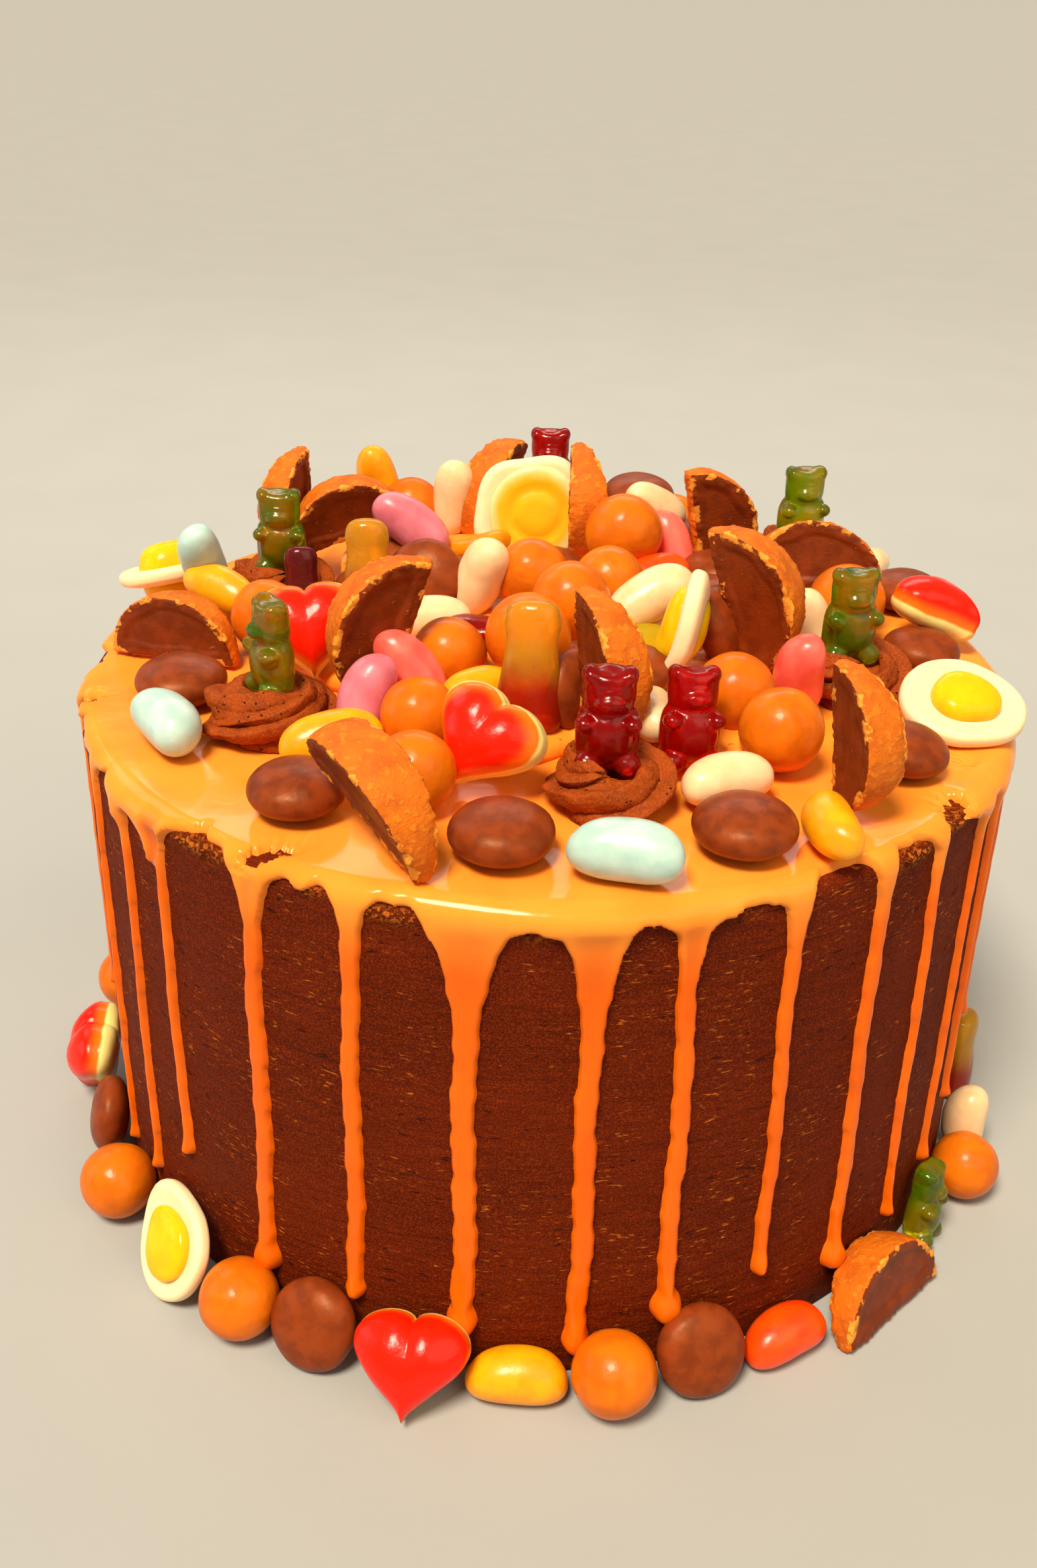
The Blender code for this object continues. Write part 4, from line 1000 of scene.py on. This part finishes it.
def arc_and_depth(bm):
    """Where each point of the sheet lies along the rim and down, in mm, before the sheet is bent on."""
    laid = np.array([v.co for v in bm.verts], float)
    return np.arctan2(laid[:, 0], -laid[:, 1]) * RIM_RADIUS / MM, -laid[:, 2]


def caramel_sheet():
    """The caramel over the top and down the side, its edge sunk into the frosting."""
    rim = RIM_RADIUS / MM - CORNER_RADIUS
    inner = [out - rim for out in (0, 8, 22, 36, 48, 58, 66, 72, 77, 81, 85, 88, 91, 93.5, 96, 98, 99.5)]
    corner = list(np.arange(-0.8, 6.4, 0.45))
    side = list(np.arange(6.8, depth_of(6), 0.85))
    depths = inner + corner + side
    bm = turned_skin([(rim + depth, -depth) for depth in depths], CARAMEL_COLUMNS)
    edge = outside_caramel(*arc_and_depth(bm))
    bmesh.ops.delete(bm, geom=[v for v, out in zip(bm.verts, edge) if out > 0.25], context="VERTS")
    bmesh.ops.delete(bm, geom=[v for v in bm.verts if not v.link_faces], context="VERTS")
    arc, depth = arc_and_depth(bm)
    hem = np.array([v.is_boundary for v in bm.verts])
    for _ in range(3):
        a, d, step = arc[hem], depth[hem], 0.05
        out = outside_caramel(a, d)
        slope_a = (outside_caramel(a + step, d) - outside_caramel(a - step, d)) / (2 * step)
        slope_d = (outside_caramel(a, d + step) - outside_caramel(a, d - step)) / (2 * step)
        steep = np.maximum(slope_a ** 2 + slope_d ** 2, 0.2)
        arc[hem] = a - np.clip(out * slope_a / steep, -0.5, 0.5)
        depth[hem] = d - np.clip(out * slope_d / steep, -0.5, 0.5)
    inside = np.clip(-outside_caramel(arc, depth) / CARAMEL_EDGE, 0, 1)
    film = caramel_film(arc, depth)
    down = np.clip(depth / 8, 0, 1)
    full = CARAMEL_FLAT + (CARAMEL_SIDE - CARAMEL_FLAT) * down
    thickness = full * np.sqrt(1 - (1 - inside) ** 2) * (1 - 0.7 * film)
    for _, end, foot, stream, _, _, bulb in DRIPS:
        from_end = np.hypot(wrapped(arc - arc_of(end)), 0.7 * (depth - depth_of(foot) + 0.8 * bulb))
        thickness += 0.30 * bulb * np.exp(-(from_end / (0.6 * bulb)) ** 2) * inside
    thickness[hem] = -0.45
    radius, height, outward, upward = frosting_path(depth)
    turn = arc / (RIM_RADIUS / MM)
    bulge = 0.45 * np.sin(7 * turn + 0.6) + 0.25 * np.sin(13 * turn)
    shelf = np.exp(-((depth - 2.5) / 3.5) ** 2)
    radius = radius + thickness * outward + bulge * shelf * outward
    ripple = 0.10 * np.sin(radius * 0.23 + 3 * turn) + 0.08 * np.sin(radius * 0.11 * np.cos(turn * 2) + 5)
    height = height + thickness * upward + ripple * upward * (depth < 2)
    film_layer = bm.verts.layers.float.new("film")
    for k, v in enumerate(bm.verts):
        v[film_layer] = film[k]
        v.co = Vector((radius[k] * sin(turn[k]), -radius[k] * cos(turn[k]), height[k])) * MM
    bmesh.ops.recalc_face_normals(bm, faces=bm.faces)
    return bm


def ledge_at(bearing, height):
    """How much a place on the side belongs to a crumbly ledge."""
    most = 0
    for middle, half, level, strength in LEDGES:
        across = remainder(bearing - middle, 360) / half
        if abs(across) < 2:
            most = max(most, strength * exp(-across ** 4 - ((height - level) / 1.5) ** 2))
    return most


def frosting_skin():
    """The frosted side and top: scraped smooth, with shallow drags and a torn ledge under the rim."""
    top, foot, rim = FROSTING_HEIGHT / MM, FOOT_RADIUS / MM, RIM_RADIUS / MM
    side = [(rim + (foot - rim) * (1 - z / top), z) for z in np.linspace(top - CORNER_RADIUS, 0.8, 100)]
    corner = [(rim - CORNER_RADIUS + CORNER_RADIUS * sin(a), top - CORNER_RADIUS * (1 - cos(a)))
              for a in np.linspace(0, pi / 2, 7)[:-1]]
    profile = [(0, top), (60, top), (92, top)] + corner + side + [(foot - 0.6, 0), (0, 0)]
    bm = turned_skin([(radius * MM, height * MM) for radius, height in profile], FROSTING_COLUMNS)
    torn_layer = bm.verts.layers.float.new("torn")
    for v in bm.verts:
        out, height = v.co.xy.length, v.co.z / MM
        if out < 80 * MM or height < 0.1:
            continue
        swell, drag = 0.22 * uneven(v.co, 26, 3), 0.10 * uneven(v.co, 9, 7)
        pit = max(0, uneven(v.co, 2.6, 2.6, (7, 3, 1)) - 0.42)
        ledge = bell(height - 107.2, 1.7) * (0.1 + 0.4 * uneven(v.co, 2.2, 2.2))
        crumbs = ledge_at(degrees(atan2(v.co.x, -v.co.y)), height)
        v[torn_layer] = crumbs
        coarse = uneven(v.co, 1.1) + 0.6 * uneven(v.co, 2.4)
        v.co.xy *= 1 + (swell + drag - 0.5 * pit + ledge + crumbs * (0.7 + 0.8 * coarse)) * MM / out
    bmesh.ops.recalc_face_normals(bm, faces=bm.faces)
    return bm


def mound():
    """A low lumpy bed of caramel and crumbs under the heap."""
    bearings = [radians(bearing) for bearing, _ in MOUND_OUTLINE]
    reaches = [reach * MM for _, reach in MOUND_OUTLINE]

    def outline(angle):
        return float(np.interp(angle + pi / 2, bearings, reaches, period=2 * pi))

    bm = pillow((1, 1, MOUND_HEIGHT), outline, 0.66, 160, 60)
    cut_level(bm, 0.02 * MM)
    bmesh.ops.holes_fill(bm, edges=[edge for edge in bm.edges if edge.is_boundary])
    for v in bm.verts:
        if v.co.z > 0.1 * MM:
            v.co.z += MOUND_RISE * max(v.co.y, 0) + 1.2 * MM * uneven(v.co, 6)
            v.co.z = max(v.co.z, 0.1 * MM)
        v.co.z += CARAMEL_TOP + 0.1 * MM
    return bm


def cake():
    piece("frosting_skin", frosting_skin(), ["ganache"], ["frosting"])
    piece("caramel_sheet", caramel_sheet(), ["caramel"], ["caramel"])


def swirls():
    for name, start in SWIRLS.items():
        node = f"swirl_{name}"
        turn = turn_of((0, 0, start))
        ends = zip(*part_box(node), *corners(shape_of("swirl"), turn))
        grow = [(node_high - node_low) / (high - low) for node_low, node_high, low, high in ends]
        stretched = Matrix.Diagonal((*grow, 1)) @ turn
        sweets(f"piped_{node}", [("swirl", on_node("swirl", stretched, node), ["cream"])], [node])


def single_sweet(node, kind, row, bearing=0):
    turn, finishes = sweet(kind, *row)
    turn = Matrix.Rotation(radians(bearing), 4, "Z") @ turn
    form = FORMS.get(node, kind)
    sweets(f"sweet_{node}", [(form, on_node(form, turn, node), finishes)], [node])


def single_sweets():
    for node, row in SINGLES.items():
        single_sweet(node, node.split("_")[0], row)
    for name, (bearing, *row) in BORDER.items():
        single_sweet(f"border_{name}", name.split("_")[0], row, bearing)


def heap():
    piece("heap_mound", mound(), ["mound"], ["sweet_heap"])
    for kind, (slot, *_) in KINDS.items():
        copies = []
        for form, rows in HEAP.items():
            for x, y, height, *row in rows if form.split("_")[0] == kind else ():
                turn, finishes = sweet(kind, *row)
                copies.append((form, on_caramel(form, x, y, height, turn), finishes))
        sweets(f"heap_{kind}s", copies, ["sweet_heap"])


# The stage

def floor():
    bm = bmesh.new()
    bmesh.ops.create_circle(bm, cap_ends=True, segments=96, radius=20)
    made = put("floor", mesh_of("floor", bm))
    made.data.materials.append(FINISHES["floor"])


def camera():
    """Where the photograph was taken from, as fitted to the cake's rim, foot and side."""
    lens = bpy.data.cameras.new("camera")
    lens.lens, lens.sensor_width, lens.clip_start = 35, 36, 0.01
    place = Matrix.Translation(CAMERA_PLACE)
    for angle, axis in zip(CAMERA_TURNS, "ZXZ"):
        place = place @ Matrix.Rotation(radians(angle), 4, axis)
    SCENE.camera = put("camera", lens)
    SCENE.camera.matrix_world = place


def lamp(name, kind, energy, colour):
    light = bpy.data.lights.new(name, kind)
    light.energy, light.color = energy, colour
    return light, put(name, light)


def sun(name, bearing, height, energy, spread, colour):
    """A broad even light from that bearing and height."""
    light, made = lamp(name, "SUN", energy, colour)
    light.angle = radians(spread)
    made.rotation_euler = (radians(90 - height), 0, radians(bearing))


def soft_box(name, place, size, power, colour):
    """A soft rectangular light turned to the cake's top."""
    light, made = lamp(name, "AREA", power, colour)
    light.shape = "RECTANGLE"
    light.size, light.size_y = size
    made.location = place
    towards = Vector((0, 0, FROSTING_HEIGHT)) - made.location
    made.rotation_euler = towards.to_track_quat("-Z", "Y").to_euler()


def studio():
    sun("key", *KEY_LIGHT)
    sun("fill", *FILL_LIGHT)
    soft_box("behind", *BACK_LIGHT)
    soft_box("window", *WINDOW_LIGHT)
    soft_box("left", *LEFT_LIGHT)
    world = bpy.data.worlds.new("studio")
    world.use_nodes = True
    background = world.node_tree.nodes["Background"]
    background.inputs["Color"].default_value = SKY_COLOUR
    background.inputs["Strength"].default_value = SKY_STRENGTH
    SCENE.world = world
    SCENE.view_settings.view_transform = "Standard"


all_finishes()
cake()
heap()
swirls()
single_sweets()
floor()
camera()
studio()
